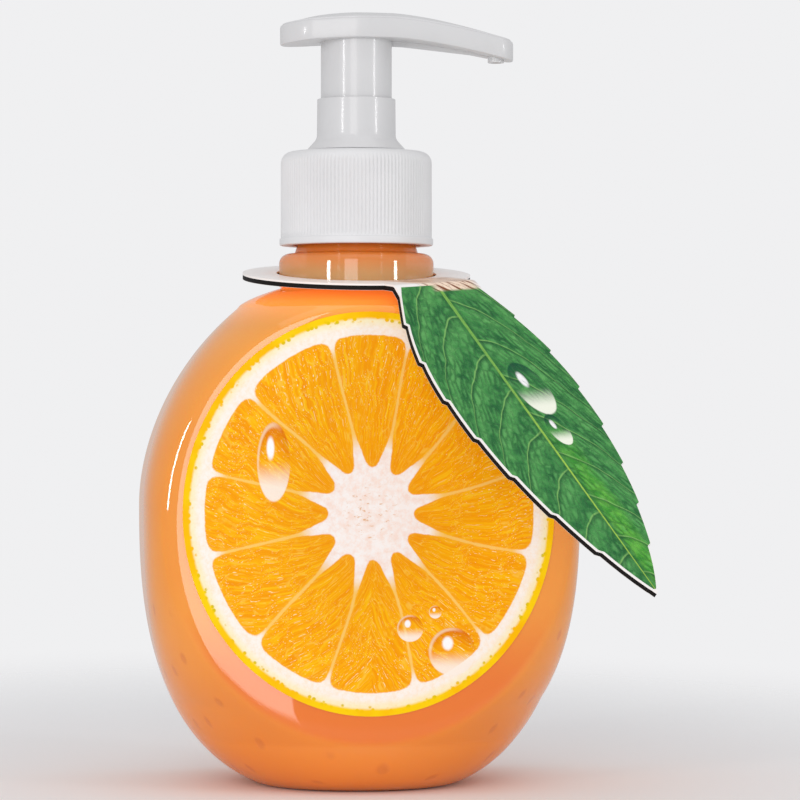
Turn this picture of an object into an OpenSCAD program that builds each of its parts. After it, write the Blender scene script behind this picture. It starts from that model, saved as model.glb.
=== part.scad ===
// Liquid soap bottle: a clear puck-shaped body full of soap, a round fruit label on its front,
// a folded leaf tag round its neck and a lotion pump screwed on top.
// Millimetres, +Z up, front towards -Y, spout towards +X.
// The origin is on the resting face, under the pump's axis.

/* [Bottle body] */
// Greatest width of the body
body_w = 94.6; // [90:0.2:104]
// Depth between the front and back panels at the middle
body_d = 60; // [57:0.5:60]
// Height of the widest level above the base
wide_z = 61.1; // [58:0.1:63]
// How far the rounded outline would reach above the widest level
top_reach = 53.6; // [53:0.1:58]
// How far the rounded outline would reach below the widest level
low_reach = 64.25; // [64:0.05:70]
// Squareness of the outline above the widest level
top_power = 1.82; // [1.7:0.01:2.2]
// Squareness of the outline below the widest level
low_power = 2.69; // [2.4:0.01:3]
// Wall of the blown body
wall = 0.9; // [0.6:0.1:1.4]
// Depth of the base from its middle to the edge that it stands on
base_d = 40; // [34:1:48]
// Height of the hollow pushed up under the base
push_up = 3; // [1.5:0.5:4]
// Width of the flat ring that the bottle stands on
foot_w = 3; // [2:0.5:5]

/* [Panels] */
// Width of the crease round each flat panel
crease_w = 85.4; // [80:0.2:88]
// Height of the crease round each flat panel
crease_h = 93.2; // [86:0.2:94]
// Height of the crease's middle above the base
crease_z = 57.1; // [56:0.1:58]
// Radius to which each panel is bowed from side to side
panel_r = 230; // [150:5:400]
// Angle by which each panel leans in towards the top
panel_lean = 2; // [0:0.1:2.5]
// Squareness of the rim from front to back at the widest level
rim_power = 5; // [4:0.1:6]
// Squareness of the rim from front to back at the shoulder
shoulder_power = 2; // [1.6:0.1:2.4]
// Squareness of the rim's sides
side_power = 2.2; // [2:0.1:2.6]

/* [Neck] */
// Height of the shoulder's top above the base
neck_z = 108.3; // [107.5:0.1:108.5]
// Diameter of the body where it meets the neck
neck_foot_d = 32.8; // [32:0.1:33.4]
// Diameter of the round bead under the thread
bead_d = 34; // [33.6:0.1:35]
// Height of the bead's top above the base
bead_top_z = 115.8; // [114:0.1:116.5]
// Radius of the bead's rounded upper edge
bead_r = 2.2; // [1:0.1:2.4]
// Outer diameter of the neck over its thread
neck_d = 27.6; // [27:0.1:28]
// Bore of the neck
neck_bore = 22; // [21:0.1:22.4]
// Height of the neck's rim above the base
neck_top_z = 133.4; // [132:0.1:134]

/* [Soap] */
// Height of the soap's surface above the base
soap_z = 106.8; // [90:0.1:107]
// Gap between the soap and what it touches
soap_gap = 0.1; // [0.05:0.05:0.2]

/* [Label] */
// Panel left bare between the label's side and the crease
label_side_gap = 3; // [2:0.1:12]
// Panel left bare between the label's top and the crease
label_top_gap = 1.2; // [1:0.1:8]
// Panel left bare between the label's foot and the crease
label_low_gap = 6.4; // [4:0.1:12]
// Thickness of the label's film
label_t = 0.15; // [0.1:0.05:0.3]
// Thickness of a field of printed ink
ink_t = 0.05; // [0.03:0.01:0.08]
// Gap of glue between the panel and the label
glue_t = 0.05; // [0.05:0.01:0.1]
// Width of the printed rind
rind_w = 2.1; // [1:0.1:4]
// Distance from the label's edge to the printed fruit flesh
pith_w = 5; // [4.4:0.1:8]
// Number of printed fruit segments
segments = 12; // [8:1:14]
// Width of the printed membrane between two segments
membrane_w = 1.1; // [0.6:0.1:2]
// Radius of the pale core in the middle of the printed fruit
core_r = 7.5; // [4:0.1:12]

/* [Leaf tag] */
// Outer diameter of the tag's ring
ring_d = 50; // [47:0.5:54]
// Diameter of the ring's hole
ring_hole = 35.2; // [35:0.1:37]
// Height of the ring's underside on the pump's axis
tag_z = 110.1; // [110.1:0.1:110.6]
// Tilt of the ring towards the front
tag_tilt = 6.9; // [6.6:0.1:7.2]
// Thickness of the printed card
card_t = 0.4; // [0.3:0.05:0.6]
// Thickness of the dark backing under the card
backing_t = 1; // [0.8:0.1:1.2]
// Distance of the fold from the pump's axis
fold_d = 25.5; // [25:0.1:26]
// Distance out from the ring's hole at which the leaf's strip starts
strip_inset = 3; // [1:0.5:5]
// Direction of the leaf, turned from the front towards the spout
leaf_turn = 34.3; // [30:0.1:40]
// Angle by which the leaf hangs down from the ring
leaf_fold = 39.8; // [30:0.1:40]
// Length of the leaf from the fold to the tip
leaf_l = 89.4; // [70:0.2:100]
// Greatest width of the leaf
leaf_w = 38; // [30:0.2:44]
// Width of the leaf at the fold
leaf_root_w = 20.9; // [18:0.1:24]
// Distance from the fold to the widest place of the leaf
leaf_belly = 30; // [24:0.5:36]
// Distance from one tooth of the leaf's edge to the next
tooth_pitch = 11; // [8:0.5:14]
// Height of a tooth of the leaf's edge
tooth_h = 0.9; // [0.4:0.1:1.4]
// Width of the bare white edge round the printed leaf
bare_edge = 0.35; // [0.2:0.05:0.6]

/* [Closure] */
// Diameter of the closure over its ribs
cap_d = 33.2; // [32.8:0.1:34]
// Diameter of the smooth band at the closure's foot
cap_band_d = 33.8; // [33.4:0.1:34.6]
// Height of the smooth band
cap_band_h = 1.6; // [1:0.1:3]
// Height of the closure
cap_h = 20.6; // [20:0.1:21]
// Gap between the bead and the closure's foot
cap_lift = 1.8; // [1.6:0.1:2]
// Thickness of the closure's top
cap_top_t = 1.8; // [1.4:0.1:2]
// Radius of the closure's rounded shoulder
cap_round = 2.5; // [1.5:0.1:3]
// Number of ribs round the closure
ribs = 120; // [60:4:140]
// Depth of the grooves between the ribs
rib_deep = 0.3; // [0.2:0.05:0.4]
// Gap between the closure and the neck's thread
thread_gap = 0.35; // [0.3:0.05:0.5]

/* [Pump] */
// Running gap between parts that turn or slide
run_gap = 0.3; // [0.3:0.05:0.4]
// Distance that the head goes down when it is pressed
stroke = 9; // [6:0.5:9.5]
// Height of the collar above the closure's top
collar_h = 11.6; // [11.5:0.1:13]
// Outer diameter of the collar at its top
collar_d = 17.2; // [17.1:0.1:18]
// Diameter of the collar's flared foot
collar_foot_d = 21.2; // [20:0.1:23]
// Outer diameter of the collar's plug through the closure
plug_d = 14.4; // [13.5:0.1:15]
// Length of the collar's plug inside the housing
plug_l = 6; // [4:0.5:8]
// Outer diameter of the pump's housing
housing_d = 14; // [13.6:0.1:15]
// Bore of the pump's housing
housing_bore = 11.4; // [11:0.1:11.8]
// Length of the pump's housing below the neck's rim
housing_l = 50; // [48:0.5:56]
// Diameter of the housing's flange
flange_d = 26; // [25:0.1:27]
// Thickness of the housing's flange
flange_t = 1.6; // [1.2:0.1:1.8]
// Thickness of the gasket on the neck's rim
gasket_t = 1; // [0.6:0.1:1.2]
// Outer diameter of the stem
stem_d = 6.4; // [6:0.1:7]
// Bore of the stem
stem_bore = 3.6; // [3:0.1:4]
// Height of the piston
piston_h = 6; // [4:0.5:7]
// Diameter of the inlet ball
ball_d = 4.4; // [4:0.1:5]
// Distance that the inlet ball lifts off its seat
ball_lift = 1.6; // [1:0.1:1.8]
// Outer diameter of the dip tube
tube_d = 6.2; // [5.6:0.1:6.6]
// Bore of the dip tube
tube_bore = 4.4; // [4:0.1:4.8]
// Gap between the dip tube's end and the inside of the base
tube_end_gap = 3; // [2:0.5:8]
// Wire of the return spring
spring_wire = 1; // [0.8:0.1:1.2]
// Number of turns of the return spring
spring_turns = 8; // [6:1:9]

/* [Head] */
// Outer diameter of the head's skirt
skirt_d = 15.6; // [15.2:0.1:15.6]
// Wall of the head's skirt
skirt_wall = 1; // [0.8:0.1:1.2]
// Wall of the socket that holds the stem in the head
boss_wall = 1.2; // [1:0.1:1.6]
// Depth of the skirt's foot inside the collar at rest
skirt_dip = 0.5; // [0.3:0.1:1]
// Distance from the skirt's foot to the head's side edge above the axis
skirt_h = 17.7; // [17.5:0.1:19]
// Length of the spout from the axis to its tip
spout_l = 34.8; // [28:0.2:40]
// Length of the head from the axis to its blunt end
tail_l = 16.8; // [15:0.2:18]
// Width of the head round the axis
head_w = 19; // [18:0.2:22]
// Width of the spout at its tip
tip_w = 8.6; // [7:0.2:10]
// Height of the head's side wall
side_h = 4.4; // [4:0.1:5]
// Drop of the spout's tip below the head's side edge
spout_drop = 4.4; // [3:0.1:5]
// Height of the crown above the head's side edge
crown_h = 1.5; // [1:0.1:2.4]
// Bore of the mouth
mouth_bore = 2.2; // [1.8:0.1:2.6]
// Outer diameter of the mouth under the spout's tip
mouth_d = 3.6; // [3.4:0.1:5]
// Distance from the mouth's middle to the spout's tip
mouth_in = 3.8; // [3:0.1:5]
// Length of the mouth below the spout
mouth_l = 1; // [0.6:0.1:2]

/* [Hidden] */
$fn = 96;

// Small overlap that joins two bodies of one piece.
eps = 0.01;

// Body outline: intervals on a quarter of the rim, on a panel, over the crease and on the shoulder.
rim_steps = 7;
panel_steps = 10;
crease_steps = 22;
shoulder_steps = 4;
low_steps = 5;
crease_top = crease_z + crease_h / 2;
crease_low = crease_z - crease_h / 2;

// Label: its oval stands inside the crease.
label_w = crease_w - 2 * label_side_gap;
label_h = crease_h - label_top_gap - label_low_gap;
label_z = crease_low + label_low_gap + label_h / 2;

// Half width of the outline at height z: two superellipses that meet at the widest level.
function half_w(z) =
    let (reach = z > wide_z ? top_reach : low_reach)
    let (power = z > wide_z ? top_power : low_power)
    body_w / 2 * pow(1 - pow(abs(z - wide_z) / reach, power), 1 / power);

// Depth of the bowed and leaning panel at x, z.
function bow_y(x) = body_d / 2 - panel_r + sqrt(panel_r * panel_r - x * x);
function panel_y(x, z) = bow_y(x) - tan(panel_lean) * (z - crease_z);

// Half width of the crease at height z.
function crease_x(z) =
    crease_w / 2 * sqrt(max(0, 1 - pow((z - crease_z) / (crease_h / 2), 2)));

// Squareness of the rim from front to back at height z.
function rim_q(z) =
    let (share = min(1, abs(z - wide_z) / (crease_top - wide_z)))
    rim_power + (shoulder_power - rim_power) * share * share;

// Share of the rim's depth that is left at x, at height z.
function rim_share(x, z) =
    pow(max(0, 1 - pow(abs(x) / half_w(z), side_power)), 1 / rim_q(z));

// Depth that the rim would have in the middle at height z; below the crease it rounds in to the base.
function rim_mid(z) =
    z < crease_low
    ? base_d / 2 + (panel_y(0, crease_low) - base_d / 2) * sqrt(1 - pow(1 - z / crease_low, 2))
    : panel_y(crease_x(z), z) / rim_share(crease_x(z), z);

function rim_y(x, z) = rim_mid(z) * rim_share(x, z);
function skin_y(x, z) = min(panel_y(x, z), rim_y(x, z));

// Where the quarter rim ends and the panel's points begin at height z.
function seam_x(z) = max(crease_x(z), 0.25 * half_w(z));

// Points of a quarter of the section at height z, from the side round to the seam.
function quarter(z) =
    let (w = half_w(z))
    let (end = acos(pow(seam_x(z) / w, side_power / 2)))
    let (crowding = 1 + (rim_q(z) - shoulder_power) / (rim_power - shoulder_power))
    [for (k = [0:rim_steps])
        let (x = w * pow(cos(end * pow(k / rim_steps, crowding)), 2 / side_power))
        [x, k == 0 ? 0 : skin_y(x, z)]];

// Points between the two seams of a panel at height z, from +X to -X.
function panel_points(z) =
    [for (j = [1:panel_steps - 1])
        let (x = seam_x(z) * (1 - 2 * j / panel_steps))
        [x, skin_y(x, z)]];

// The whole section at height z, anticlockwise seen from above, starting at +X.
function section(z) =
    let (q = quarter(z))
    let (p = panel_points(z))
    concat(
        q,
        p,
        [for (k = [rim_steps:-1:0]) [-q[k].x, q[k].y]],
        [for (k = [1:rim_steps]) [-q[k].x, -q[k].y]],
        [for (j = [panel_steps - 2:-1:0]) [p[j].x, -p[j].y]],
        [for (k = [rim_steps:-1:1]) [q[k].x, -q[k].y]]);

ring_count = 4 * rim_steps + 2 * panel_steps;

function raised(points, z) = [for (p = points) [p.x, p.y, z]];

// Base rings, from near the middle out to the foot: a domed hollow and then the flat ring.
foot_start = 1 - foot_w / (base_d / 2);
base_shares = [0.25, 0.6, foot_start];
function hollow_z(share) = push_up * (1 - pow(share / foot_start, 2));
function base_ring(share) = [for (p = section(0)) [p.x * share, p.y * share, hollow_z(share)]];
base_rings = [for (share = base_shares) base_ring(share)];

// Rings of the side wall, from the foot to the top of the crease.
low_levels = [for (i = [0:low_steps - 1]) crease_low * (1 - cos(90 * i / low_steps))];
crease_levels =
    [for (i = [0:crease_steps]) crease_z - crease_h / 2 * cos(180 * i / crease_steps)];
side_rings = [for (z = concat(low_levels, crease_levels)) raised(section(z), z)];

// Rings of the shoulder, from the top of the crease in to the neck's foot of radius r.
// The shoulder is fuller at the sides than towards the panels.
top_section = section(crease_top);
function shoulder_ring(u, r) =
    [for (p = top_section)
        let (far = norm(p))
        let (bend = 1.1 - 0.45 * pow(p.x / far, 2))
        let (k = 1 - u + u * r / far)
        [p.x * k, p.y * k, crease_top + (neck_z - crease_top) * pow(u, bend)]];
function shoulder_rings(r) = [for (i = [1:shoulder_steps]) shoulder_ring(i / shoulder_steps, r)];

// The body's skin drawn in by t on every side, as rings from the base's middle to the neck.
function drawn_in(p, t) = [
    p.x * (1 - 2 * t / body_w),
    p.y * (1 - 2 * t / body_d),
    t + p.z * (1 - 2 * t / neck_z)];
function skin_rings(t, r) =
    [for (ring = concat(base_rings, side_rings, shoulder_rings(r))) [for (p = ring) drawn_in(p, t)]];
function base_mid(t) = drawn_in([0, 0, push_up], t);

// Faces between ring a and ring b of n points, facing outwards where b lies above a.
function band_faces(a, b, n) =
    [for (k = [0:n - 1])
        let (next = (k + 1) % n)
        each [[a + k, b + k, b + next], [a + k, b + next, a + next]]];
// Faces from one point to a ring, facing down.
function fan_faces(centre, ring, n) = [for (k = [0:n - 1]) [centre, ring + k, ring + (k + 1) % n]];
function flipped(faces) = [for (f = faces) [f[0], f[2], f[1]]];
function flat(rings) = [for (ring = rings) each ring];

// A closed solid inside the skin drawn in by t, cut off flat at the neck.
module skin_solid(t, r) {
    rings = skin_rings(t, r);
    n = ring_count;
    last = len(rings) - 1;
    top_mid = [0, 0, rings[last][0].z];
    points = concat([base_mid(t)], flat(rings), [top_mid]);
    faces = concat(
        fan_faces(0, 1, n),
        flat([for (i = [0:last - 1]) band_faces(1 + i * n, 1 + (i + 1) * n, n)]),
        flipped(fan_faces(len(points) - 1, 1 + last * n, n)));
    polyhedron(points = points, faces = faces);
}

// The hollow blown body: its outer skin and its inner skin, joined by a flat ring at the neck.
module hollow_body() {
    bore_r = neck_bore / 2 + 0.2;
    outer = skin_rings(0, neck_foot_d / 2);
    inner = skin_rings(wall, bore_r);
    n = ring_count;
    count = len(outer);
    bore_top = [for (p = inner[count - 1]) [p.x, p.y, neck_z]];
    rings = concat(outer, [bore_top], [for (i = [count - 1:-1:0]) inner[i]]);
    points = concat([base_mid(0)], flat(rings), [base_mid(wall)]);
    faces = concat(
        fan_faces(0, 1, n),
        flat([for (i = [0:len(rings) - 2]) band_faces(1 + i * n, 1 + (i + 1) * n, n)]),
        flipped(fan_faces(len(points) - 1, 1 + (len(rings) - 1) * n, n)));
    polyhedron(points = points, faces = faces);
}

// The neck with its bead, from just inside the shoulder to the rim.
module neck_ring() {
    bead_face = bead_d / 2 - bead_r;
    rotate_extrude()
        union() {
            translate([neck_bore / 2, neck_z - wall / 2])
                square([(neck_foot_d - neck_bore) / 2 - wall, wall]);
            translate([neck_bore / 2, neck_z])
                square([bead_face - neck_bore / 2, bead_top_z - neck_z]);
            translate([bead_face - eps, neck_z])
                square([bead_r + eps, bead_top_z - bead_r - neck_z]);
            intersection() {
                translate([bead_face, bead_top_z - bead_r])
                    circle(r = bead_r);
                translate([bead_face - eps, bead_top_z - bead_r - eps])
                    square(bead_r + 1);
            }
            translate([neck_bore / 2, bead_top_z - eps])
                square([(neck_d - neck_bore) / 2, neck_top_z - bead_top_z + eps]);
        }
}

module bottle_shell() {
    color([0.93, 0.52, 0.22, 0.6]) {
        hollow_body();
        neck_ring();
    }
}

// Heights along the pump.
cap_low_z = bead_top_z + cap_lift;
cap_top_z = cap_low_z + cap_h;
flange_low_z = neck_top_z + gasket_t;
flange_top_z = flange_low_z + flange_t;
collar_low_z = cap_top_z + run_gap;
collar_top_z = cap_top_z + collar_h;
housing_low_z = neck_top_z - housing_l;
plug_low_z = flange_top_z - plug_l;
tube_low_z = push_up + wall + tube_end_gap;

module soap_fill() {
    gap = wall + soap_gap;
    color([0.96, 0.5, 0.1])
        difference() {
            skin_solid(gap, neck_bore / 2);
            translate([0, 0, soap_z])
                cylinder(d = 2 * body_w, h = neck_z);
            translate([0, 0, housing_low_z - run_gap])
                cylinder(d = housing_d + 2 * run_gap, h = neck_z);
            translate([0, 0, tube_low_z - run_gap])
                cylinder(d = socket_d + 2 * run_gap, h = neck_z);
        }
}

// Label: strips of a bowed band, cut to an oval.
band_steps = 20;
function oval(w, h) = [for (a = [0:4:356]) [w / 2 * cos(a), h / 2 * sin(a)]];

// A bowed layer from the panel's own radius, between two heights over the panel.
module bowed_layer(low, high) {
    reach = label_w / 2 + 1;
    xs = [for (i = [0:band_steps]) reach * (2 * i / band_steps - 1)];
    inner = [for (x = xs) [x, body_d / 2 - bow_y(x) - low]];
    outer = [for (i = [band_steps:-1:0]) [xs[i], body_d / 2 - bow_y(xs[i]) - high]];
    translate([0, -body_d / 2, crease_z])
        rotate([-panel_lean, 0, 0])
            translate([0, 0, -label_h])
                linear_extrude(height = 2 * label_h)
                    polygon(concat(inner, outer));
}

// A flat outline seen from the front, carried back through the label.
module front_prism() {
    translate([0, 0, label_z])
        rotate([90, 0, 0])
            linear_extrude(height = body_d)
                children();
}

label_in = glue_t;
label_out = glue_t + label_t;

module label_film() {
    color([0.98, 0.95, 0.92])
        intersection() {
            bowed_layer(label_in, label_out);
            front_prism()
                polygon(oval(label_w, label_h));
        }
}

module label_rind() {
    color([1, 0.8, 0.1])
        intersection() {
            bowed_layer(label_out, label_out + ink_t);
            front_prism()
                difference() {
                    polygon(oval(label_w, label_h));
                    polygon(oval(label_w - 2 * rind_w, label_h - 2 * rind_w));
                }
        }
}

// One printed segment: a wedge of the flesh's oval between two membranes, blunt at the core.
flesh_w = label_w - 2 * pith_w;
flesh_h = label_h - 2 * pith_w;
half_pitch = 180 / segments;
// Shares of a segment: its angle at the blunt root, how far the root's corners stand out from the
// core, and where its outer corners are cut.
root_open = 0.55;
root_lift = 1.15;
corner_cut = 0.96;
function segment_edge(a, r) = [flesh_w / 2 * r * sin(a), flesh_h / 2 * r * cos(a)];
module segment(a) {
    core_share = core_r / (flesh_h / 2);
    tuck = half_pitch - asin(membrane_w / flesh_w);
    arc = [for (i = [-4:4]) segment_edge(a + tuck * i / 4, abs(i) == 4 ? corner_cut : 1)];
    root = [
        segment_edge(a + tuck * root_open, core_share * root_lift),
        segment_edge(a, core_share),
        segment_edge(a - tuck * root_open, core_share * root_lift)];
    polygon(concat(arc, root));
}

module label_pulp() {
    color([0.97, 0.55, 0.05])
        intersection() {
            bowed_layer(label_out, label_out + ink_t);
            front_prism()
                for (i = [0:segments - 1])
                    segment(2 * half_pitch * i);
        }
}

// Tag: the ring lies in its own tilted plane, and the leaf folds down just outside it.
module ring_plane() {
    translate([0, 0, tag_z])
        rotate([tag_tilt, 0, 0])
            children();
}

// The fold's own frame: X runs out along the flat card, Y along the fold.
module fold_frame() {
    rotate([0, 0, leaf_turn - 90])
        translate([fold_d, 0, 0])
            children();
}

// Half width of the leaf at distance s from the fold: two parabolas that meet at the widest place.
function leaf_curve(s) =
    s < leaf_belly
    ? leaf_w / 2 - (leaf_w - leaf_root_w) / 2 * pow(1 - s / leaf_belly, 2)
    : leaf_w / 2 * (1 - pow((s - leaf_belly) / (leaf_l - leaf_belly), 2));
// A tooth widens the edge towards the tip and then steps back.
function leaf_tooth(s) =
    let (share = s / tooth_pitch - floor(s / tooth_pitch))
    let (fade = min(1, s / tooth_pitch) * min(1, (leaf_l - s) / tooth_pitch))
    tooth_h * fade * (share - 0.5);
function leaf_half(s) = max(0, leaf_curve(s) + leaf_tooth(s));
leaf_step = tooth_pitch / 4;
leaf_marks = [for (s = [leaf_step:leaf_step:leaf_l - 1]) each
    (abs(s / tooth_pitch - round(s / tooth_pitch)) < 0.01 ? [s - 0.3, s + 0.3] : [s])];

// Outline of the folded leaf from the given distance back of the fold, drawn in by an edge all round.
module leaf_outline(start, edge) {
    right = [for (s = leaf_marks) if (leaf_half(s) > edge + 0.3) [s, leaf_half(s) - edge]];
    left = [for (i = [len(right) - 1:-1:0]) [right[i].x, -right[i].y]];
    root = leaf_root_w / 2 - edge;
    polygon(concat([[start, root]], right, [[leaf_l - 3 * edge, 0]], left, [[start, -root]]));
}

// Side profile of a strip that lies flat on the ring, bends at the fold and runs down to the tip.
tab_start = ring_hole / 2 + strip_inset - fold_d;
module strip_profile(low, high) {
    steps = 8;
    arc = [for (i = [0:steps]) leaf_fold * i / steps];
    outer = [for (a = arc) [high * sin(a), high * cos(a)]];
    inner = [for (i = [steps:-1:0]) [low * sin(arc[i]), low * cos(arc[i])]];
    far = [leaf_l * cos(leaf_fold), -leaf_l * sin(leaf_fold)];
    polygon(concat(
        [[tab_start, high]],
        outer,
        [far + outer[steps], far + inner[0]],
        low > 0 ? inner : [[0, 0]],
        [[tab_start, low]]));
}

// One layer of the folded tag, between two heights over its underside.
module tag_layer(low, high) {
    ring_plane() {
        translate([0, 0, low])
            linear_extrude(height = high - low)
                difference() {
                    circle(d = ring_d);
                    circle(d = ring_hole);
                }
        fold_frame()
            intersection() {
                rotate([90, 0, 0])
                    translate([0, 0, -leaf_w])
                        linear_extrude(height = 2 * leaf_w)
                            strip_profile(low, high);
                rotate([0, leaf_fold, 0])
                    translate([0, 0, -leaf_root_w / 2])
                        linear_extrude(height = leaf_root_w)
                            leaf_outline(2 * tab_start, 0);
            }
    }
}

module tag_backing() {
    color([0.08, 0.07, 0.07])
        tag_layer(0, backing_t);
}

module tag_card() {
    color([0.95, 0.93, 0.93])
        tag_layer(backing_t, backing_t + card_t);
}

module leaf_print() {
    color([0.2, 0.55, 0.25])
        ring_plane()
            fold_frame()
                rotate([0, leaf_fold, 0])
                    translate([0, 0, backing_t + card_t])
                        linear_extrude(height = ink_t)
                            leaf_outline(bare_edge, bare_edge);
}

// Closure: a ribbed cap with a rounded shoulder and a smooth band at its foot.
module closure_cap() {
    cap_bore = neck_d + 2 * thread_gap;
    ceiling_z = cap_top_z - cap_top_t;
    groove_low = cap_low_z + cap_band_h;
    groove_h = cap_top_z - cap_round * 0.7 - groove_low;
    color([0.93, 0.93, 0.94])
        difference() {
            union() {
                rotate_extrude()
                    union() {
                        translate([0, cap_low_z])
                            square([cap_band_d / 2, cap_band_h]);
                        translate([0, cap_low_z])
                            square([cap_d / 2, cap_h - cap_round]);
                        translate([0, cap_low_z])
                            square([cap_d / 2 - cap_round, cap_h]);
                        intersection() {
                            translate([cap_d / 2 - cap_round, cap_top_z - cap_round])
                                circle(r = cap_round);
                            translate([cap_d / 2 - cap_round, cap_top_z - cap_round])
                                square(cap_round + 1);
                        }
                    }
            }
            translate([0, 0, cap_low_z - 1])
                cylinder(d = cap_bore, h = ceiling_z - cap_low_z + 1);
            cylinder(d = plug_d + 2 * run_gap, h = 2 * cap_top_z);
            for (i = [0:ribs - 1])
                rotate([0, 0, 360 / ribs * i])
                    translate([cap_d / 2 - rib_deep, 0, groove_low])
                        rotate([0, 0, 45])
                            cube([2 * rib_deep, 2 * rib_deep, groove_h]);
        }
}

// Collar: the sleeve that the head's skirt dips into, with a floor, a flared foot and a plug.
module collar() {
    sleeve_bore = skirt_d + 2 * run_gap;
    floor_low = collar_low_z;
    floor_top = skirt_low_z - stroke - run_gap;
    flare = (collar_foot_d - collar_d) / 2;
    color([0.93, 0.93, 0.94])
        rotate_extrude()
            difference() {
                union() {
                    translate([0, floor_low])
                        square([collar_d / 2, collar_top_z - floor_low]);
                    difference() {
                        translate([0, floor_low])
                            square([collar_foot_d / 2, flare]);
                        translate([collar_foot_d / 2, floor_low + 0.3 + flare])
                            circle(r = flare);
                    }
                    translate([0, flange_top_z])
                        square([plug_d / 2, floor_low - flange_top_z + eps]);
                    translate([0, plug_low_z])
                        square([housing_bore / 2 - pin_gap, plug_l + eps]);
                }
                translate([0, floor_top])
                    square([sleeve_bore / 2, collar_top_z]);
                translate([0, plug_low_z - 1])
                    square([stem_d / 2 + run_gap, collar_top_z]);
            }
}

// Lower end of the housing: the ball's cage and its roof under the spring, the seat and the socket.
cage_d = ball_d + 2 * run_gap;
seat_d = ball_d * 0.7;
socket_wall = 1;
socket_d = tube_d + 2 * socket_wall;
socket_l = 7;
socket_floor = 1;
cage_roof = 1.2;
cage_low_z = housing_low_z;
ball_z = cage_low_z + sqrt(pow(ball_d / 2, 2) - pow(seat_d / 2, 2));
cage_top_z = ball_z + ball_d / 2 + ball_lift;

module pump_housing() {
    color([0.9, 0.9, 0.88])
        rotate_extrude()
            difference() {
                union() {
                    translate([0, flange_low_z])
                        square([flange_d / 2, flange_t]);
                    translate([0, housing_low_z])
                        square([housing_d / 2, flange_low_z - housing_low_z + eps]);
                    translate([0, housing_low_z - socket_l])
                        square([socket_d / 2, socket_l + eps]);
                }
                translate([0, cage_top_z + cage_roof])
                    square([housing_bore / 2, flange_top_z]);
                translate([0, cage_top_z - eps])
                    square([seat_d / 2, cage_roof + 1]);
                translate([0, cage_low_z])
                    square([cage_d / 2, cage_top_z - cage_low_z]);
                translate([0, housing_low_z - socket_l])
                    square([seat_d / 2, socket_l + eps]);
                translate([0, housing_low_z - socket_l - eps])
                    square([tube_d / 2, socket_l - socket_floor + eps]);
            }
}

module neck_gasket() {
    color([0.85, 0.85, 0.83])
        translate([0, 0, neck_top_z])
            difference() {
                cylinder(d = flange_d, h = gasket_t);
                translate([0, 0, -1])
                    cylinder(d = housing_d + 2 * run_gap, h = gasket_t + 2);
            }
}

module dip_tube() {
    color([0.88, 0.88, 0.86])
        translate([0, 0, tube_low_z])
            difference() {
                cylinder(d = tube_d, h = housing_low_z - socket_floor - tube_low_z);
                translate([0, 0, -1])
                    cylinder(d = tube_bore, h = housing_low_z);
            }
}

module inlet_ball() {
    color([0.7, 0.7, 0.72])
        translate([0, 0, ball_z])
            sphere(d = ball_d);
}

// Heights of what moves with the head.
skirt_low_z = collar_top_z - skirt_dip;
edge_z = skirt_low_z + skirt_h;
stem_top_z = edge_z - side_h;
piston_low_z = plug_low_z - piston_h - 1;
spring_low_z = cage_top_z + cage_roof;
seat_t = 2;
spring_h = piston_low_z - seat_t - spring_low_z;
spring_r = (stem_d + 2.2) / 2;
// Gap round a pin or a lip that turns or slides in a bore.
pin_gap = 0.08;

module stem() {
    color([0.9, 0.9, 0.88])
        difference() {
            translate([0, 0, piston_low_z])
                cylinder(d = stem_d, h = stem_top_z - piston_low_z);
            translate([0, 0, piston_low_z - 1])
                cylinder(d = stem_bore, h = stem_top_z);
        }
}

// Piston: a sleeve on the stem with a thin lip at each end that wipes the bore.
module piston() {
    lip_r = housing_bore / 2 - pin_gap;
    lip_h = 1.4;
    color([0.92, 0.92, 0.9])
        rotate_extrude()
            union() {
                translate([stem_d / 2, piston_low_z])
                    square([1.2, piston_h]);
                translate([stem_d / 2, piston_low_z])
                    square([lip_r - stem_d / 2, lip_h]);
                translate([stem_d / 2, piston_low_z + piston_h - lip_h])
                    square([lip_r - stem_d / 2, lip_h]);
            }
}

// Seat under the piston that the spring pushes on: a flanged plug in the stem's bore.
module piston_seat() {
    color([0.9, 0.9, 0.88])
        difference() {
            union() {
                translate([0, 0, piston_low_z - seat_t])
                    cylinder(d = 2 * spring_r + spring_wire, h = seat_t);
                translate([0, 0, piston_low_z - eps])
                    cylinder(d = stem_bore - 2 * pin_gap, h = piston_h);
            }
            translate([0, 0, piston_low_z - seat_t - 1])
                cylinder(d = stem_bore - 1.4, h = seat_t + piston_h + 2);
        }
}

// Return spring: a round wire wound on a helix, with 6 sides and 14 rings to a turn.
module return_spring() {
    sides = 6;
    per_turn = 14;
    steps = spring_turns * per_turn;
    low = spring_low_z + spring_wire / 2;
    rise = spring_h - spring_wire;
    rings = [for (i = [0:steps])
        let (a = 360 * i / per_turn)
        [for (k = [0:sides - 1])
            let (c = spring_wire / 2 * cos(360 / sides * k))
            let (s = spring_wire / 2 * sin(360 / sides * k))
            [(spring_r + c) * cos(a), (spring_r + c) * sin(a), low + rise * i / steps + s]]];
    faces = concat(
        flat([for (i = [0:steps - 1]) flipped(band_faces(i * sides, (i + 1) * sides, sides))]),
        [for (k = [1:sides - 2]) [0, k, k + 1]],
        [for (k = [1:sides - 2]) [steps * sides, steps * sides + k + 1, steps * sides + k]]);
    color([0.72, 0.72, 0.74])
        polyhedron(points = flat(rings), faces = faces);
}

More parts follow.
